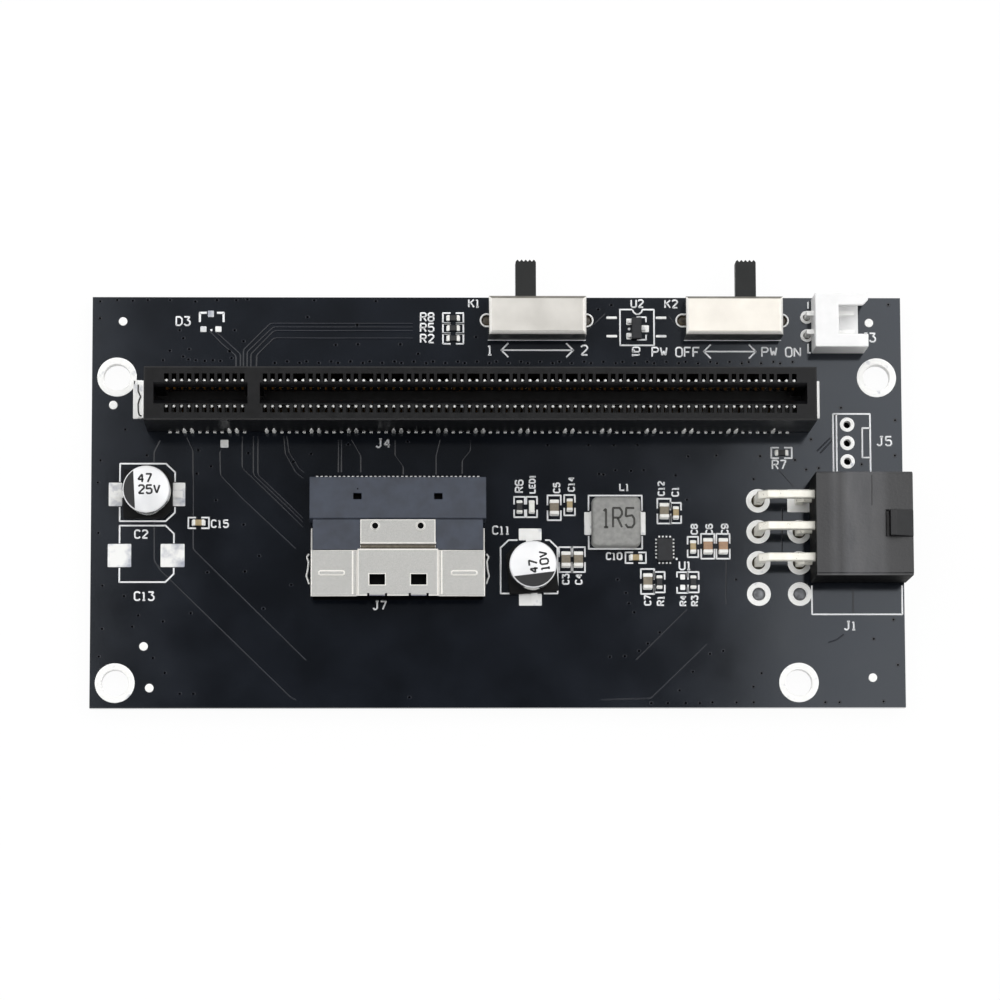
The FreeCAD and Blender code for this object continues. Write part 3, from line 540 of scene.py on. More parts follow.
piece("tinned_lands", [closed(lands, tin), closed(square_land, tin), closed(patchy_lands, spare_tin)])

# Solder in the plated holes. It rises round each lead and sags below the land, dull with burnt flux;
# two spare power holes are filled flush, and the spare header's holes are tented from underneath.
dull_solder = finish("dull_solder", (96, 98, 102), (150, 152, 156), (0.35, 0.5), metallic=0.4, drift=0.9)
flux = finish("burnt_flux", (30, 24, 16), (88, 76, 56), (0.25, 0.4), drift=1.6)
fillings = []
for places, radius, level, material in (
        (spare_header_places, 0.485, 0.3, tented_black_and_shade), (spare_power_places, 0.89, 1.1, dull_solder),
        (pin_places, 0.89, 1.25, flux), (aux_places, 0.485, 1.3, flux), (switch_lug_places, 0.74, 1.2, flux)):
    filling = bmesh.new()
    for x, y in places:
        turned(filling, [(0.0, level - 0.2), (radius, level - 0.1), (radius, level),
                         (0.6 * radius, level + 0.08), (0.0, level + 0.1)], x, y, 20)
    fillings.append(closed(filling, material, smooth=True))
piece("hole_solder", fillings)

# Solder joints underneath. Each lead that comes through the board is cut off below it, and the solder
# wave leaves a small bright cone round its end.
joint_reach = 1.45
port_leg_places = [(x, y) for x in (-24.9, -2.0) for y in (-25.2, -27.8)]
joints = bmesh.new()
for places, foot in ((pin_places, 1.45), (aux_places, 0.8), (switch_lug_places, 0.95), (terminal_places, 0.7),
                     (port_leg_places, 0.8)):
    for x, y in places:
        turned(joints, [(0.0, sunk), (foot, sunk), (0.93 * foot, -0.16), (0.62 * foot, -0.5),
                        (0.42 * foot, -0.95), (0.36 * foot, -joint_reach + 0.06), (0.0, -joint_reach)],
               x, y, 20)
piece("underside_joints", [closed(joints, tin, smooth=True)])

# Printed legend. White epoxy ink screened over the mask: part outlines, part numbers in single pen
# strokes, and the arrows that say which way each switch slides.
legend_ink = finish("legend_ink", (247, 249, 251), (254, 254, 255), (0.55, 0.7), drift=4.0)
pen = 0.21
heavy_pen = 0.29
fine_pen = 0.13
ink_rise = 0.03
ring = [(1, 0), (3, 0), (4, 1), (4, 5), (3, 6), (1, 6), (0, 5), (0, 1), (1, 0)]
bowl = [(0, 0), (0, 6), (3, 6), (4, 5), (4, 4), (3, 3), (0, 3)]
glyphs = {
    "0": [ring],
    "1": [[(1, 5), (2, 6), (2, 0)], [(1, 0), (3, 0)]],
    "2": [[(0, 5), (1, 6), (3, 6), (4, 5), (4, 4), (0, 0), (4, 0)]],
    "3": [[(0, 6), (4, 6), (2, 3.6), (3, 3.6), (4, 2.6), (4, 1), (3, 0), (1, 0), (0, 1)]],
    "4": [[(3, 0), (3, 6), (0, 2), (4, 2)]],
    "5": [[(4, 6), (0.4, 6), (0.2, 3.4), (3, 3.7), (4, 2.7), (4, 1), (3, 0), (1, 0), (0, 1)]],
    "6": [[(4, 5), (3, 6), (1, 6), (0, 5), (0, 1), (1, 0), (3, 0), (4, 1), (4, 2.4), (3, 3.4), (1, 3.4),
           (0, 2.4)]],
    "7": [[(0, 6), (4, 6), (1.4, 0)]],
    "8": [[(1, 3.2), (0, 4.2), (0, 5), (1, 6), (3, 6), (4, 5), (4, 4.2), (3, 3.2), (1, 3.2), (0, 2.2),
           (0, 1), (1, 0), (3, 0), (4, 1), (4, 2.2), (3, 3.2)]],
    "9": [[(0, 1), (1, 0), (3, 0), (4, 1), (4, 5), (3, 6), (1, 6), (0, 5), (0, 3.6), (1, 2.6), (3, 2.6),
           (4, 3.6)]],
    "C": [[(4, 5), (3, 6), (1, 6), (0, 5), (0, 1), (1, 0), (3, 0), (4, 1)]],
    "D": [[(0, 0), (0, 6), (2.6, 6), (4, 4.6), (4, 1.4), (2.6, 0), (0, 0)]],
    "E": [[(4, 6), (0, 6), (0, 0), (4, 0)], [(0, 3), (3, 3)]],
    "F": [[(4, 6), (0, 6), (0, 0)], [(0, 3), (3, 3)]],
    "J": [[(0, 1), (1, 0), (2, 0), (3, 1), (3, 6)], [(2, 6), (4, 6)]],
    "K": [[(0, 0), (0, 6)], [(4, 6), (0, 2.4)], [(1.4, 3.6), (4, 0)]],
    "L": [[(0, 6), (0, 0), (4, 0)]],
    "N": [[(0, 0), (0, 6), (4, 0), (4, 6)]],
    "O": [ring],
    "P": [bowl],
    "Q": [ring, [(2.4, 1.8), (4.2, -0.4)]],
    "R": [bowl, [(2, 3), (4, 0)]],
    "U": [[(0, 6), (0, 1), (1, 0), (3, 0), (4, 1), (4, 6)]],
    "V": [[(0, 6), (2, 0), (4, 6)]],
    "W": [[(0, 6), (1, 0), (2, 4.4), (3, 0), (4, 6)]],
}
glyph_height = 6
glyph_advance = 5.6
narrow_advance = 4.4
glyph_gap = 1.6


def written(words, x, y, height, turn=0.0, narrow=1.0):
    """Pen strokes of some words, centred on a place."""
    scale = height / glyph_height
    widths = [narrow_advance if letter in "1 " else glyph_advance for letter in words]
    start = -(sum(widths) - glyph_gap) / 2
    spin = Matrix.Rotation(math.radians(turn), 2)
    runs = []
    for letter, width in zip(words, widths):
        lead = glyph_gap / 2 if letter == "1" else 0.0
        for stroke in glyphs.get(letter, []):
            points = [spin @ Vector(((start - lead + across) * narrow, up - glyph_height / 2)) * scale
                      for across, up in stroke]
            runs.append([(x + point.x, y + point.y) for point in points])
        start += width
    return runs


labels = [
    ("D3", -42.33, 7.63, 1.15, 0), ("R8", -9.47, 8.22, 1.1, 0), ("R5", -9.48, 6.78, 1.1, 0),
    ("R2", -9.48, 5.28, 1.1, 0), ("K1", -3.13, 10.1, 1.03, 0), ("U2", 18.89, 10.1, 1.0, 0),
    ("Q1", 18.71, 3.47, 0.95, -90), ("K2", 23.49, 10.05, 1.03, 0), ("J4", -15.41, -8.95, 1.15, 0),
    ("J5", 52.08, -8.64, 1.2, 0), ("R7", 37.87, -11.84, 1.15, 0), ("C2", -47.77, -21.26, 1.05, 0),
    ("C13", -47.31, -29.6, 1.1, 0), ("C15", -37.26, -19.85, 0.95, 0), ("J7", -15.87, -30.85, 1.08, 0),
    ("C11", 0.41, -20.72, 1.05, 0), ("R6", 2.85, -14.77, 1.0, 90), ("LED1", 4.6, -14.5, 0.73, 90),
    ("C5", 7.89, -15.0, 0.8, 90), ("C14", 9.84, -14.5, 0.8, 90), ("L1", 17.0, -14.9, 0.87, 0),
    ("C12", 21.94, -15.1, 0.78, 90), ("C1", 23.82, -15.5, 0.85, 90), ("C10", 15.56, -24.23, 0.87, 0),
    ("C3", 9.04, -27.33, 0.82, 90), ("C4", 10.78, -27.33, 0.82, 90), ("C8", 26.34, -20.6, 0.79, 90),
    ("C6", 28.35, -20.6, 0.82, 90), ("C9", 30.44, -20.6, 0.82, 90), ("U1", 25.08, -25.5, 1.1, 0),
    ("C7", 20.01, -30.17, 0.8, 90), ("R1", 21.76, -30.23, 0.87, 90), ("R4", 24.77, -30.23, 0.8, 90),
    ("R3", 26.32, -30.24, 0.8, 90), ("J1", 47.16, -33.61, 1.1, 0), ("J3", 50.15, 5.5, 1.15, 0),
    ("1", -1.0, 3.72, 1.3, 0), ("2", 11.7, 3.72, 1.3, 0),
    ("PW OFF", 24.05, 3.48, 1.24, 0), ("PW ON", 38.3, 3.49, 1.24, 0),
]
letter_runs = [run for words, x, y, height, turn in labels for run in written(words, x, y, height, turn)]


def arrow(first, last, y, head=0.95):
    """A line with an arrow head at each end."""
    return [[(first, y), (last, y)], [(first + head, y + head), (first, y), (first + head, y - head)],
            [(last - head, y + head), (last, y), (last - head, y - head)]]


bracket_opening = 0.35


def brackets(node_name, length_gap, width_gap):
    """Two facing brackets round a chip part, open at the middle of its long sides."""
    low, high = (Vector(corner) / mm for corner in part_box(node_name))
    middle, half = (low + high) / 2, (high - low) / 2
    across = half.y > half.x
    long_half = max(half.x, half.y) + length_gap
    short_half = min(half.x, half.y) + width_gap
    runs = []
    for end in (-1, 1):
        run = [(-short_half, end * bracket_opening), (-short_half, end * long_half),
               (short_half, end * long_half), (short_half, end * bracket_opening)]
        runs.append([(middle.x + (a if across else b), middle.y + (b if across else a)) for a, b in run])
    return runs


outline_runs = arrow(0.51, 10.22, 3.72) + arrow(27.84, 34.89, 3.56)
outline_runs += [
    [(-50.65, -14.2), (-50.65, -11.75), (-44.5, -11.75), (-43.28, -12.9), (-43.28, -14.2)],
    [(-50.65, -17.6), (-50.65, -19.51), (-44.5, -19.51), (-43.28, -18.36), (-43.28, -17.6)],
    [(-50.65, -22.5), (-50.65, -20.11), (-44.5, -20.11), (-43.39, -21.2), (-43.39, -22.5)],
    [(-50.65, -25.8), (-50.65, -27.72), (-44.5, -27.72), (-43.39, -26.6), (-43.39, -25.8)],
    [(2.6, -22.07), (1.4, -22.07), (0.32, -23.1), (0.32, -29.26), (2.6, -29.26)],
    [(6.3, -22.07), (6.9, -22.07), (7.95, -23.1), (7.95, -29.26), (6.1, -29.26)],
    [(12.16, -18.1), (12.16, -16.04), (19.33, -16.04), (19.33, -18.1)],
    [(12.16, -21.5), (12.16, -23.25), (19.33, -23.25), (19.33, -21.5)],
    [(18.24, 9.28), (16.55, 9.28), (16.55, 4.39), (21.15, 4.39), (21.15, 9.28), (19.6, 9.28), (19.45, 8.9),
     (19.1, 8.65), (18.75, 8.65), (18.4, 8.9), (18.24, 9.28)],
    [(18.8, 8.23), (20.06, 8.23), (20.06, 7.55)], [(18.8, 5.15), (20.06, 5.15), (20.06, 5.85)],
    [(42.1, 10.3), (42.02, 10.3), (42.02, 9.44)], [(41.96, 4.65), (41.95, 3.4), (42.3, 3.4)],
    [(45.19, -4.94), (50.2, -4.94), (50.2, -12.95), (45.19, -12.95), (45.19, -4.94)],
    [(45.65, -4.94), (45.65, -12.95)], [(50.2, -6.87), (49.13, -6.87), (49.1, -10.88), (50.2, -10.88)],
    [(42.07, -28.2), (42.07, -32.09), (54.2, -32.09), (54.2, -28.2)],
    [(23.97, -28.4), (23.97, -29.2), (25.4, -29.2), (25.4, -28.4)],
    [(23.97, -27.1), (23.97, -26.4), (25.4, -26.4), (25.4, -27.1)],
]
small_chips = ["resistor_%d" % number for number in (1, 2, 3, 5, 6, 7, 8)]
small_chips += ["capacitor_%d" % number for number in (1, 8, 10, 14, 15)] + ["indicator_lamp"]
large_chips = ["capacitor_%d" % number for number in (3, 4, 5, 6, 7, 9, 12)]
for name in small_chips:
    outline_runs += brackets(name, 0.58, 0.32)
for name in large_chips:
    outline_runs += brackets(name, 0.68, 0.27)
fine_runs = [[(-1.28, 5.08), (11.91, 5.08)], [(25.2, 5.08), (38.3, 5.08)]]
heavy_runs = [[(-39.14, 8.76), (-40.08, 8.76), (-40.08, 7.5)],
              [(-37.79, 8.76), (-36.89, 8.76), (-36.89, 7.5)]]
legend = [drawn(runs, board_top, width, 2 * rise, corner, legend_ink) for runs, width, rise, corner in (
    (outline_runs, pen, ink_rise, 0.02), (heavy_runs, heavy_pen, ink_rise, 0.02),
    (fine_runs, fine_pen, ink_rise, 0.02), (letter_runs, pen, ink_rise + 0.005, 0.06))]
dots = bmesh.new()
for x, y, radius in ((23.95, -24.6, 0.16), (17.79, 6.63, 0.17), (-38.52, 6.41, 0.15)):
    turned(dots, [(0.0, board_top - sunk), (radius, board_top - sunk), (radius, board_top + ink_rise),
                  (0.0, board_top + ink_rise)], x, y, 16)
piece("printed_legend", legend + [closed(dots, legend_ink)])

# Card slot. One long moulding of glass-filled black plastic; two rows of gold-flashed spring contacts
# are pressed in from below, and their tinned feet are soldered along both sides. On the front side,
# solder has climbed the tails of some contacts.
slot_plastic = finish("slot_plastic", (11, 11, 13), (18, 18, 20), (0.28, 0.36), drift=0.9, relief=0.004,
                      grain=9.0, specular=0.22)
contact_gold = finish("contact_gold", (206, 146, 62), (232, 180, 92), (0.24, 0.36), metallic=0.9, drift=2.0)
coat("slot_housing", slot_plastic)
slot_y = -3.85
contact_xs = [-44.0 + index for index in range(11)] + [-31.0 + index for index in range(71)]
contact_places = [(x, slot_y) for x in contact_xs]


def bent_strip(path, thickness, width):
    """A strip of sheet bent along a path of (y, z) points, centred on x = 0."""
    form = bmesh.new()
    points = [Vector(point) for point in path]
    sides = []
    for index, point in enumerate(points):
        before = points[max(index - 1, 0)]
        after = points[min(index + 1, len(points) - 1)]
        along = (after - before).normalized()
        offset = Vector((-along.y, along.x)) * thickness / 2
        sides.append([form.verts.new((x, spot.x, spot.y)) for spot in (point + offset, point - offset)
                      for x in (-width / 2, width / 2)])
    for lower, upper in zip(sides, sides[1:]):
        for a, b in ((0, 1), (1, 3), (3, 2), (2, 0)):
            form.faces.new((lower[a], lower[b], upper[b], upper[a]))
    for end in (sides[0], sides[-1]):
        form.faces.new((end[0], end[1], end[3], end[2]))
    return form


contact_foot = [(3.76, 0.1), (2.75, 0.1), (2.5, 0.22), (2.4, 0.5)]
contact_spring = [(2.4, 0.5), (2.38, 3.8), (2.05, 5.6), (1.2, 7.9), (0.86, 8.9), (0.84, 9.35), (1.0, 9.75),
                  (1.5, 10.02)]
contact_tip = [(1.5, 10.02), (1.72, 10.25), (1.74, 10.8)]
contact_bead = [(0.0, 10.6), (0.23, 10.7), (0.23, 10.88), (0.14, 11.0), (0.0, 11.04)]
bead_reach = 1.7
contact_sheet = 0.18
foot_width = 0.4
spring_width = 0.28


def contact_row(side):
    """One row of contacts: tinned feet, gold springs and bright tips that end in a bead."""
    foot, spring, tip = (
        bent_strip([(side * y, z) for y, z in path], contact_sheet, width) for path, width in (
            (contact_foot, foot_width), (contact_spring, spring_width), (contact_tip, spring_width)))
    turned(tip, contact_bead, 0.0, side * bead_reach, 8)
    return [repeated(part, contact_places, material)
            for part, material in ((foot, tin), (spring, contact_gold), (tip, tin))]


piece("rear_contacts", contact_row(1), stands_for=["slot_contacts_rear"])
piece("front_contacts", contact_row(-1), stands_for=["slot_contacts_front"])

wetted_contacts = (3, 4, 9, 10, 12, 13, 18, 19, 23, 24, 29, 30, 35, 36, 40, 41, 46, 47, 52, 53, 57, 58, 63,
                   64, 68, 69, 74, 75, 80)
climb_y = -7.49
climb_profile = [(0.0, 0.02), (0.25, 0.2), (0.31, 0.8), (0.27, 1.7), (0.17, 2.9), (0.0, 4.0)]
climb_flatness = 0.6
foot_reach = 3.64
bright_solder = finish("bright_solder", (246, 246, 243), (254, 254, 252), (0.25, 0.35), drift=3.0)
climb = turned(bmesh.new(), climb_profile, 0.0, 0.0, 6)
bmesh.ops.scale(climb, vec=(1.0, climb_flatness, 1.0), verts=climb.verts)
climbs = repeated(climb, [(contact_xs[number - 1], climb_y) for number in wetted_contacts], bright_solder,
                  smooth=True)
foot_land = low_plate(bmesh.new(), 0.0, 0.0, 0.44, 0.26, 0.0, 0.1, corner=0.1, shoulder=0.06)
foot_lands = repeated(foot_land, [(x, slot_y + side * foot_reach) for x in contact_xs for side in (-1, 1)],
                      bright_solder)
piece("slot_solder", [climbs, foot_lands])


# Hold-down clips at the slot's ends. Tinned spring sheet, bent to an angle, pressed against the
# moulding and soldered flat to a land; a relief cut runs along the left one's foot.
def rounded_off(form, edges, rounding, segments=2):
    """Rounds some edges of a shape."""
    bmesh.ops.bevel(form, geom=edges, offset=rounding, offset_type="OFFSET", segments=segments, profile=0.5,
                    affect="EDGES", clamp_overlap=True)


def softened(node_name, material, rounding, body="card", segments=2, chosen=None):
    """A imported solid's own shape with its edges slightly rounded, as moulding and bending leave them."""
    form = bmesh.new()
    form.from_mesh(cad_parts[node_name].data)
    bmesh.ops.scale(form, vec=(1 / mm, 1 / mm, 1 / mm), verts=form.verts)
    bmesh.ops.remove_doubles(form, verts=form.verts, dist=1e-4)
    bmesh.ops.dissolve_limit(form, angle_limit=math.radians(1.0), verts=form.verts, edges=form.edges)
    sharp = [edge for edge in form.edges if edge.is_manifold and edge.calc_face_angle() > math.radians(20.0)
             and (chosen is None or chosen(edge))]
    rounded_off(form, sharp, rounding, segments)
    return piece(node_name + "_finished", [closed(form, material)], body, [node_name])


def refaced(thing, material, wanted):
    """Gives some faces another finish; the test takes a face's middle, in mm, and its normal."""
    thing.data.materials.append(material)
    for face in thing.data.polygons:
        if wanted(face.center / mm, face.normal):
            face.material_index = len(thing.data.materials) - 1


for side in ("left", "right"):
    softened("slot_clip_" + side, tin, 0.06)
# A dark finish for real cuts and seams, also used as painted shade on the power header's sides.
dark_seam_and_shade = finish("dark_seam_and_shade", (11, 11, 12), (19, 19, 20), (0.6, 0.7), drift=2.0)
clip_foot_top = 1.92
relief_cut = [(-48.29, -1.07), (-48.29, -1.96), (-48.12, -2.36), (-47.93, -2.7), (-48.17, -3.25),
              (-48.29, -3.72), (-48.26, -4.67), (-48.12, -5.21), (-47.8, -5.35)]
piece("clip_relief_cut", [drawn([relief_cut], clip_foot_top, 0.19, 0.06, 0.2, dark_seam_and_shade)])

# Cable port. Two blue-grey mouldings hold two rows of flat contacts; a folded nickel-plated shell
# wraps the front one, with painted highlights along its bends and embossings, and its legs are soldered
# through the board.
port_plastic = finish("port_plastic", (46, 52, 65), (62, 69, 83), (0.42, 0.56), drift=0.5, relief=0.008,
                      grain=7.0)
# Painted shade: a near-black finish with no reflection, put in hollows and on faces that lie in shade.
shade_black = finish("shade_black", (6, 6, 7), (10, 10, 11), (0.5, 0.65), drift=1.5, specular=0.05)
shell_nickel = finish("shell_nickel", (172, 172, 169), (190, 189, 186), (0.3, 0.42), metallic=0.6, drift=9.0,
                      relief=0.004, grain=14.0)
# Painted highlight: a near-white finish laid on bevels, bends and rims.
highlight_nickel = finish("highlight_nickel", (244, 241, 234), (252, 250, 245), (0.3, 0.4), metallic=0.15, drift=3.0)
side_nickel = finish("side_nickel", (174, 174, 172), (188, 188, 185), (0.1, 0.15), metallic=1.0, drift=0.15)
# Painted shade: darker copies of the shell nickel for its tabs and its sloped faces.
tab_shade = finish("tab_shade", (124, 124, 136), (150, 150, 160), (0.3, 0.4), metallic=0.5, drift=2.0)
ramp_shade = finish("ramp_shade", (112, 106, 94), (136, 130, 117), (0.3, 0.4), metallic=0.4, drift=2.0)
bend_shade = finish("bend_shade", (58, 52, 42), (76, 70, 58), (0.4, 0.5), metallic=0.3, drift=2.0)
port_x = -13.45
shell_rear, shell_front = -24.0, -30.15
shoulder_top, tongue_top, ramp_top, crown_top = 6.6, 6.85, 7.15, 7.3
tab_reach, tab_half = 2.75, 1.38
wall_tilt, face_tilt = 0.12, 0.97


def upper_rims(edge):
    """Bends and cut rims on the side that faces up."""
    return (edge.calc_length() > 0.5 and edge.calc_face_angle_signed() > 0
            and any(face.normal.z > 0.6 for face in edge.link_faces))


rear_block = softened("port_rear_block", port_plastic, 0.08)
# Painted shade: the rear block's faces in this band are painted black.
refaced(rear_block, shade_black, lambda spot, normal: abs(spot.x - port_x) < 7.0
        and -17.5 < spot.y < -16.1 and 5.0 < spot.z < 6.7)
front_block = softened("port_front_block", port_plastic, 0.06, chosen=upper_rims)
# Painted shade: the front block's faces ahead of the shell's rear edge are painted black.
refaced(front_block, shade_black, lambda spot, normal: spot.y < shell_rear + 0.1)
shell = softened("port_shell", shell_nickel, 0.2, segments=3, chosen=upper_rims)
# Painted highlight on the shell's bevel faces.
refaced(shell, highlight_nickel, lambda spot, normal: wall_tilt < normal.z < face_tilt)
refaced(shell, side_nickel, lambda spot, normal: normal.z <= wall_tilt)
# Painted shade on the tabs at the front lip.
refaced(shell, tab_shade, lambda spot, normal: normal.z > wall_tilt and spot.y < shell_front + 0.25
        and abs(abs(spot.x - port_x) - tab_reach) < tab_half)
# Painted shade on the sloped faces facing the rear.
refaced(shell, ramp_shade, lambda spot, normal: 0.78 < normal.z < 0.86 and 0.5 < normal.y < 0.64)
# Painted shade: the shell's nickel floor inside the mouth is painted black.
refaced(shell, shade_black, lambda spot, normal: normal.z > wall_tilt and spot.z < 4.0)
dimple_reach, dimple_y = 3.025, -20.76
embossing = bmesh.new()
dimple_shade_discs = bmesh.new()
for side in (-1, 1):
    low_plate(embossing, port_x + side * 8.8, -27.05, 3.6, 0.75, shoulder_top, 0.2, corner=0.36, shoulder=0.2)
    turned(embossing, [(0.42, tongue_top - 0.1), (0.42, tongue_top + 0.03), (0.5, tongue_top + 0.08),
                       (0.6, tongue_top + 0.06), (0.68, tongue_top - 0.02), (0.42, tongue_top - 0.1)],
           port_x + side * dimple_reach, dimple_y, 20)
    # Painted shade: a black disc below each dimple.
    turned(dimple_shade_discs, [(0.0, 6.55), (0.43, 6.55), (0.43, 6.64), (0.0, 6.64)], port_x + side * dimple_reach,
           dimple_y, 16)
raised = piece("shell_embossing", [closed(embossing, shell_nickel)])
# Painted highlight on the embossings' rims.
refaced(raised, highlight_nickel, lambda spot, normal: normal.z < face_tilt)
# Painted highlight and painted shade: bright and dark strips laid along the shell's folds.
painted_bend_lines = [(highlight_nickel, 0.22, shoulder_top, [[(x, -24.1), (x, -29.9)] for x in (-19.46, -7.64)]),
         (highlight_nickel, 0.22, tongue_top, [[(-18.46, -23.07), (-8.37, -23.07)]]),
         (highlight_nickel, 0.2, crown_top, [[(-18.8, -24.0), (-8.15, -24.0)]]),
         (bend_shade, 0.13, tongue_top, [[(-18.46, -23.29), (-8.37, -23.29)]]),
         (bend_shade, 0.13, ramp_top, [[(-18.46, -23.77), (-8.37, -23.77)]])]
piece("shell_bends", [drawn(paths, level, width, 0.08, 0.0, material)
                      for material, width, level, paths in painted_bend_lines])
web = low_plate(bmesh.new(), port_x, -19.83, 22.5, 0.2, board_top, 4.85, corner=0.03, shoulder=0.02)
piece("port_web", [closed(dimple_shade_discs, shade_black), closed(web, port_plastic)])
leg_bead = [(-25.33, -23.96), (-25.63, -24.36), (-25.38, -24.98), (-25.49, -26.11), (-25.67, -26.92),
            (-25.43, -27.59), (-25.32, -27.99)]
far_bead = [(2 * port_x - x, y) for x, y in leg_bead]
leg_solder = drawn([leg_bead, far_bead], board_top, 0.22, 0.3, 0.2, tin)
tail = low_plate(bmesh.new(), 0.0, 0.0, 0.34, 0.22, 0.0, 0.1, corner=0.08, shoulder=0.04)
tail_count, tail_pitch, tail_y = 37, 0.6, -13.5
tail_places = [(port_x + tail_pitch * (index - tail_count // 2), tail_y) for index in range(tail_count)]
# Painted shade: a black disc stands for the vent hole.
vent_shade_disc = turned(bmesh.new(), [(0.0, 6.75), (0.11, 6.75), (0.11, 6.81), (0.0, 6.81)], -18.8, -15.81, 10)
piece("port_solder", [leg_solder, repeated(tail, tail_places, tin), closed(vent_shade_disc, shade_black)])
for name in ("port_contacts_upper", "port_contacts_lower"):
    coat(name, tin)

# Power header. A heat-proof dark grey nylon shroud with six plug cells and a catch on its roof, with
# painted bands of sheen across the roof from side to side; the square brass pins are tinned, bent down behind
# it and soldered through the board.
power_plastic = finish("power_plastic", (196, 198, 204), (255, 255, 255), (0.3, 0.4), drift=0.5, relief=0.015,
                       grain=2.5, along=(1.0, 0.3, 1.0), specular=0.6)
power_tree = power_plastic.node_tree
power_shader = power_tree.nodes["Principled BSDF"]
power_grain = power_shader.inputs["Base Color"].links[0].from_socket
power_place = node(power_tree, "ShaderNodeTexCoord").outputs["Object"]
sideways = node(power_tree, "ShaderNodeSeparateXYZ", Vector=power_place).outputs["X"]
roof_left, roof_right, roof_top = 41.87, 54.72, 11.25
# Painted sheen: light and dark bands along the roof from side to side stand in for the lamps' reflection.
sheen_bands = node(power_tree, "ShaderNodeValToRGB",
                  Fac=graded(power_tree, sideways, roof_left * mm, roof_right * mm, 0.0, 1.0))
for place, level in ((0.12, 40), (0.19, 66), (0.25, 46), (0.33, 84), (0.47, 78), (0.68, 66), (0.76, 40)):
    sheen_bands.color_ramp.elements.new(place).color = display(level, level, level + 2)
sheen_bands.color_ramp.elements[0].color = display(38, 38, 40)
sheen_bands.color_ramp.elements[-1].color = display(28, 28, 30)
overlaid(power_tree, power_shader, "MULTIPLY", 1.0, power_grain, sheen_bands.outputs["Color"])
catch_shade = finish("catch_shade", (18, 19, 21), (30, 31, 33), (0.5, 0.6), drift=0.8)
catch_left, catch_middle, catch_half = 51.57, -20.95, 1.75
shroud = softened("power_housing", power_plastic, 0.15)
# Painted shade: the shroud's sides are darker than its roof, and its left and front faces are painted near
# black as shadow.
refaced(shroud, dark_seam_and_shade, lambda spot, normal: normal.z < 0.2)
refaced(shroud, shade_black, lambda spot, normal: normal.z < 0.2 and (normal.x < -0.5 or normal.y < -0.5))
refaced(shroud, catch_shade, lambda spot, normal: spot.x > catch_left
        and abs(spot.y - catch_middle) < catch_half and spot.z > 9.0 and normal.z > 0.2)
parting = drawn([[(49.29, -14.5), (49.25, -18.6)]], roof_top, 0.09, 0.02, 0.0, dark_seam_and_shade)
piece("power_parting_line", [parting])
pin_tin = finish("pin_tin", (236, 233, 222), (250, 248, 238), (0.26, 0.4), metallic=0.35, drift=0.8)
for name in ("power_pins_upper", "power_pins_lower"):
    softened(name, pin_tin, 0.14)

# Small white header. A two-way side-entry shroud of white nylon, moulded in one and pushed onto two
# tinned square pins, which are bent down and soldered through the board.
white_nylon = finish("white_nylon", (245, 245, 245), (252, 252, 252), (0.38, 0.5), drift=0.5, relief=0.006)
softened("aux_housing", white_nylon, 0.12)
softened("aux_pins", tin, 0.06)

# Slide switches. A bent steel case with a nickel finish is clinched over a plastic base; the black
# knob slides along the rear edge and carries a sprung wiper under it.
# Painted light: the power switch's case is painted lighter than the mode switch's, standing in for brighter
# light on the right.
shaded_case_nickel = finish("shaded_case_nickel", (199, 196, 190), (213, 210, 204), (0.32, 0.42), metallic=0.5, drift=0.25,
                     relief=0.003)
lit_case_nickel = finish("lit_case_nickel", (224, 219, 210), (238, 233, 224), (0.32, 0.42), metallic=0.5, drift=0.25,
                     relief=0.003)
# Painted shade: darker nickel for the case's front wall and its rear rim.
front_wall_shade = finish("front_wall_shade", (92, 92, 92), (112, 112, 111), (0.4, 0.5), metallic=1.0, drift=0.4)
rear_rim_shade = finish("rear_rim_shade", (108, 105, 98), (132, 129, 121), (0.4, 0.5), metallic=0.4, drift=0.6)
knob_plastic = finish("knob_plastic", (14, 16, 16), (23, 25, 25), (0.45, 0.6), drift=1.0, relief=0.008,
                      grain=7.0, specular=0.35)
case_wall_tilt, case_face_tilt = 0.3, 0.95
for switch, body, case_light_tone in (("mode_switch", "mode_knob", shaded_case_nickel),
                              ("power_switch", "power_knob", lit_case_nickel)):
    case = softened(switch + "_case", case_light_tone, 0.14, chosen=upper_rims)
    # Painted highlight on the case's bevels.
    refaced(case, highlight_nickel, lambda spot, normal: case_wall_tilt < normal.z < case_face_tilt)
    refaced(case, side_nickel, lambda spot, normal: abs(normal.z) <= case_wall_tilt)
    # Painted shade on the front wall and the rear rim.
    refaced(case, front_wall_shade, lambda spot, normal: normal.y < -0.9)
    refaced(case, rear_rim_shade, lambda spot, normal: normal.y > case_wall_tilt
            and case_wall_tilt < normal.z < case_face_tilt)
    softened(switch + "_knob", knob_plastic, 0.1, body)
    coat(switch + "_base", knob_plastic)
    coat(switch + "_terminals", tin)
    coat(switch + "_wiper", contact_gold)

# Can capacitors. A drawn aluminium can, rolled in at the foot onto a black seat, with the negative
# side and the rating printed on its top.
can_aluminium = finish("can_aluminium", (233, 234, 236), (246, 246, 247), (0.28, 0.4), metallic=0.15,
                       drift=0.3)
seat_plastic = finish("seat_plastic", (13, 13, 14), (22, 22, 23), (0.45, 0.6), drift=1.0, specular=0.15)
print_black = finish("print_black", (20, 20, 22), (34, 34, 36), (0.5, 0.65), drift=2.0)
can_profile = [(0.0, 2.5), (2.75, 2.5), (2.86, 2.7), (2.86, 3.1), (3.0, 3.3), (3.13, 3.55), (3.15, 3.75),
               (3.15, 7.1), (3.12, 7.24), (3.05, 7.33), (2.94, 7.38), (0.0, 7.38)]
can_shoulder = 7.0
print_level = 7.382
print_rise = 0.015
print_reach = 3.0
band_steps = 24


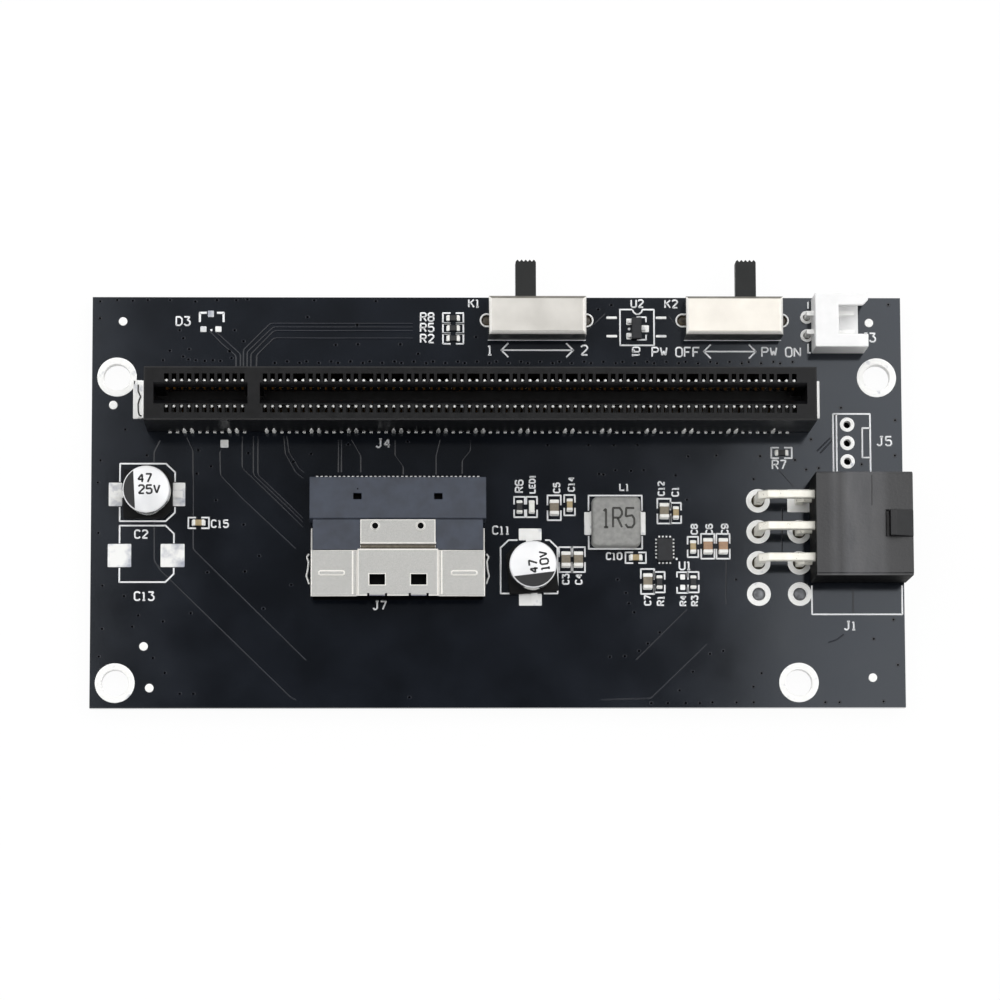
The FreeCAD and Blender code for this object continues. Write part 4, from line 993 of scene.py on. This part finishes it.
def can_band(x, y, chord, turn):
    """The printed segment of the top beyond a chord."""
    limit = math.acos(chord / print_reach)
    form = bmesh.new()
    angles = [math.radians(turn) + limit * (2 * index / band_steps - 1) for index in range(band_steps + 1)]
    spots = [(x + print_reach * math.cos(angle), y + print_reach * math.sin(angle)) for angle in angles]
    lower, upper = ([form.verts.new((*spot, level)) for spot in spots]
                    for level in (print_level - 0.02, print_level + print_rise))
    for index in range(band_steps):
        form.faces.new((lower[index], lower[index + 1], upper[index + 1], upper[index]))
    form.faces.new((lower[-1], lower[0], upper[0], upper[-1]))
    form.faces.new(lower)
    form.faces.new(upper)
    return closed(form, print_black)


for can, x, y, band_chord, band_turn, marks in (
        ("input_capacitor", -46.85, -15.9, 1.6, 183.0,
         (("47", -0.2, 1.45, 1.1, 0.0), ("25V", 0.38, -0.05, 1.1, 0.0))),
        ("output_capacitor", 4.5, -25.95, 1.3, -83.0,
         (("47", 0.03, -0.3, 1.05, 97.0), ("10V", 1.45, 0.45, 1.05, 97.0)))):
    barrel = turned(bmesh.new(), can_profile, x, y, 64)
    layers = [closed(barrel, can_aluminium, smooth=True), can_band(x, y, band_chord, band_turn)]
    for words, across, along, height, turn in marks:
        strokes = written(words, x + across, y + along, height, turn)
        layers.append(drawn(strokes, print_level, 0.24, 2 * print_rise, 0.06, print_black))
    drawn_can = piece(can + "_can_finished", layers, stands_for=[can + "_can"])
    refaced(drawn_can, side_nickel, lambda spot, normal: spot.z < can_shoulder)
    softened(can + "_seat", seat_plastic, 0.15)
    coat(can + "_leads", tin)

# Power inductor. A pressed block of grey iron powder with its value printed on top, standing on two
# folded tinned terminals.
iron_powder = finish("iron_powder", (136, 136, 134), (156, 156, 153), (0.55, 0.7), drift=1.5, relief=0.015,
                     grain=8.0)
value_ink = finish("value_ink", (52, 51, 49), (72, 71, 68), (0.5, 0.65), drift=2.0)
softened("inductor_body", iron_powder, 0.15)
softened("inductor_terminals", tin, 0.06)
inductor_top = 4.6
value_strokes = written("1R5", 16.06, -19.4, 2.6, 0.0, 0.68)
piece("inductor_value", [drawn(value_strokes, inductor_top, 0.28, 0.03, 0.08, value_ink)])

# Regulator and transistor. Small black epoxy packages, the first with a ring of lands showing round
# it and the second on three bent leads.
epoxy = finish("epoxy_black", (36, 37, 40), (50, 51, 54), (0.5, 0.65), drift=1.2, relief=0.006, grain=9.0,
               specular=0.3)
softened("regulator_package", epoxy, 0.06)
softened("transistor_body", epoxy, 0.08)
softened("transistor_leads", tin, 0.03)
dash = low_plate(bmesh.new(), 0.0, 0.0, 0.24, 0.24, 0.0, 0.06, corner=0.06, shoulder=0.05)
dash_places = [(21.62 + 0.49 * index, y) for index in range(4) for y in (-21.6, -25.15)]
dash_places += [(x, -22.0 - 0.48 * index) for index in range(6) for x in (21.2, 23.54)]
piece("regulator_lands", [repeated(dash, dash_places, tin)])


# Chip parts. Pressed ceramic blocks with tinned ends, soldered by both ends to small lands: grey, brown
# and tan capacitors, black resistors and one white lamp.
def rounded_block(low, high, rounding, material):
    """A block between two corners, with its edges rounded."""
    form = bmesh.new()
    place = Matrix.Translation((low + high) / 2) @ Matrix.Diagonal((*(high - low), 1.0))
    bmesh.ops.create_cube(form, size=1.0, matrix=place)
    rounded_off(form, form.edges[:], rounding)
    return closed(form, material)


cap_overlap = 0.05
cap_lip = 0.03
solder_reach = 0.06
solder_shift = 0.05
solder_rise = 0.14


def chip_meshes(node_name, cap, body_material):
    """A chip's body, its two end caps, and the solder round the foot of each cap."""
    low, high = (Vector(corner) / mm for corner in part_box(node_name))
    size = high - low
    axis = 0 if size.x > size.y else 1
    inside_low, inside_high = low.copy(), high.copy()
    for inner, sign in ((inside_low, 1), (inside_high, -1)):
        inner[axis] += sign * (cap - cap_overlap)
        inner[1 - axis] += sign * cap_lip
    inside_high.z -= cap_lip
    meshes = [rounded_block(inside_low, inside_high, 0.05, body_material)]
    solder = bmesh.new()
    for end in (-1, 1):
        cap_low, cap_high = low.copy(), high.copy()
        if end < 0:
            cap_high[axis] = low[axis] + cap
        else:
            cap_low[axis] = high[axis] - cap
        meshes.append(rounded_block(cap_low, cap_high, 0.09, cap_tin))
        land = [size[1 - axis], size[1 - axis]]
        land[axis] = cap + 2 * solder_reach
        spot = (cap_low + cap_high) / 2
        spot[axis] += end * solder_shift
        low_plate(solder, spot.x, spot.y, *land, board_top, solder_rise, corner=0.15, shoulder=0.25)
    return meshes + [closed(solder, tin)]


cap_tin = finish("cap_tin", (240, 239, 234), (252, 251, 247), (0.3, 0.45), metallic=0.1, drift=2.0)
ceramic_grey = finish("ceramic_grey", (122, 113, 98), (142, 132, 114), (0.45, 0.6), drift=2.5)
ceramic_brown = finish("ceramic_brown", (160, 126, 100), (180, 146, 116), (0.45, 0.6), drift=2.5)
ceramic_tan = finish("ceramic_tan", (164, 144, 104), (188, 168, 128), (0.45, 0.6), drift=2.5)
brown_chips = ["capacitor_6", "capacitor_9"]
resistor_black = finish("resistor_black", (16, 17, 19), (28, 29, 32), (0.35, 0.5), drift=2.0)
lamp_white = finish("lamp_white", (240, 243, 234), (250, 251, 245), (0.3, 0.45), drift=1.5)
for names, cap, material, slot in (
        ([name for name in large_chips if name not in brown_chips], 0.5, ceramic_grey, "ceramic_brown"),
        (brown_chips, 0.5, ceramic_brown, "ceramic_brown"),
        ([name for name in small_chips if name.startswith("capacitor")], 0.4, ceramic_tan, "ceramic_brown"),
        ([name for name in small_chips if name.startswith("resistor")], 0.34, resistor_black,
         "resistor_black"),
        (["indicator_lamp"], 0.32, lamp_white, "lamp_white")):
    for name in names:
        piece(name + "_finished", chip_meshes(name, cap, material), stands_for=[name])
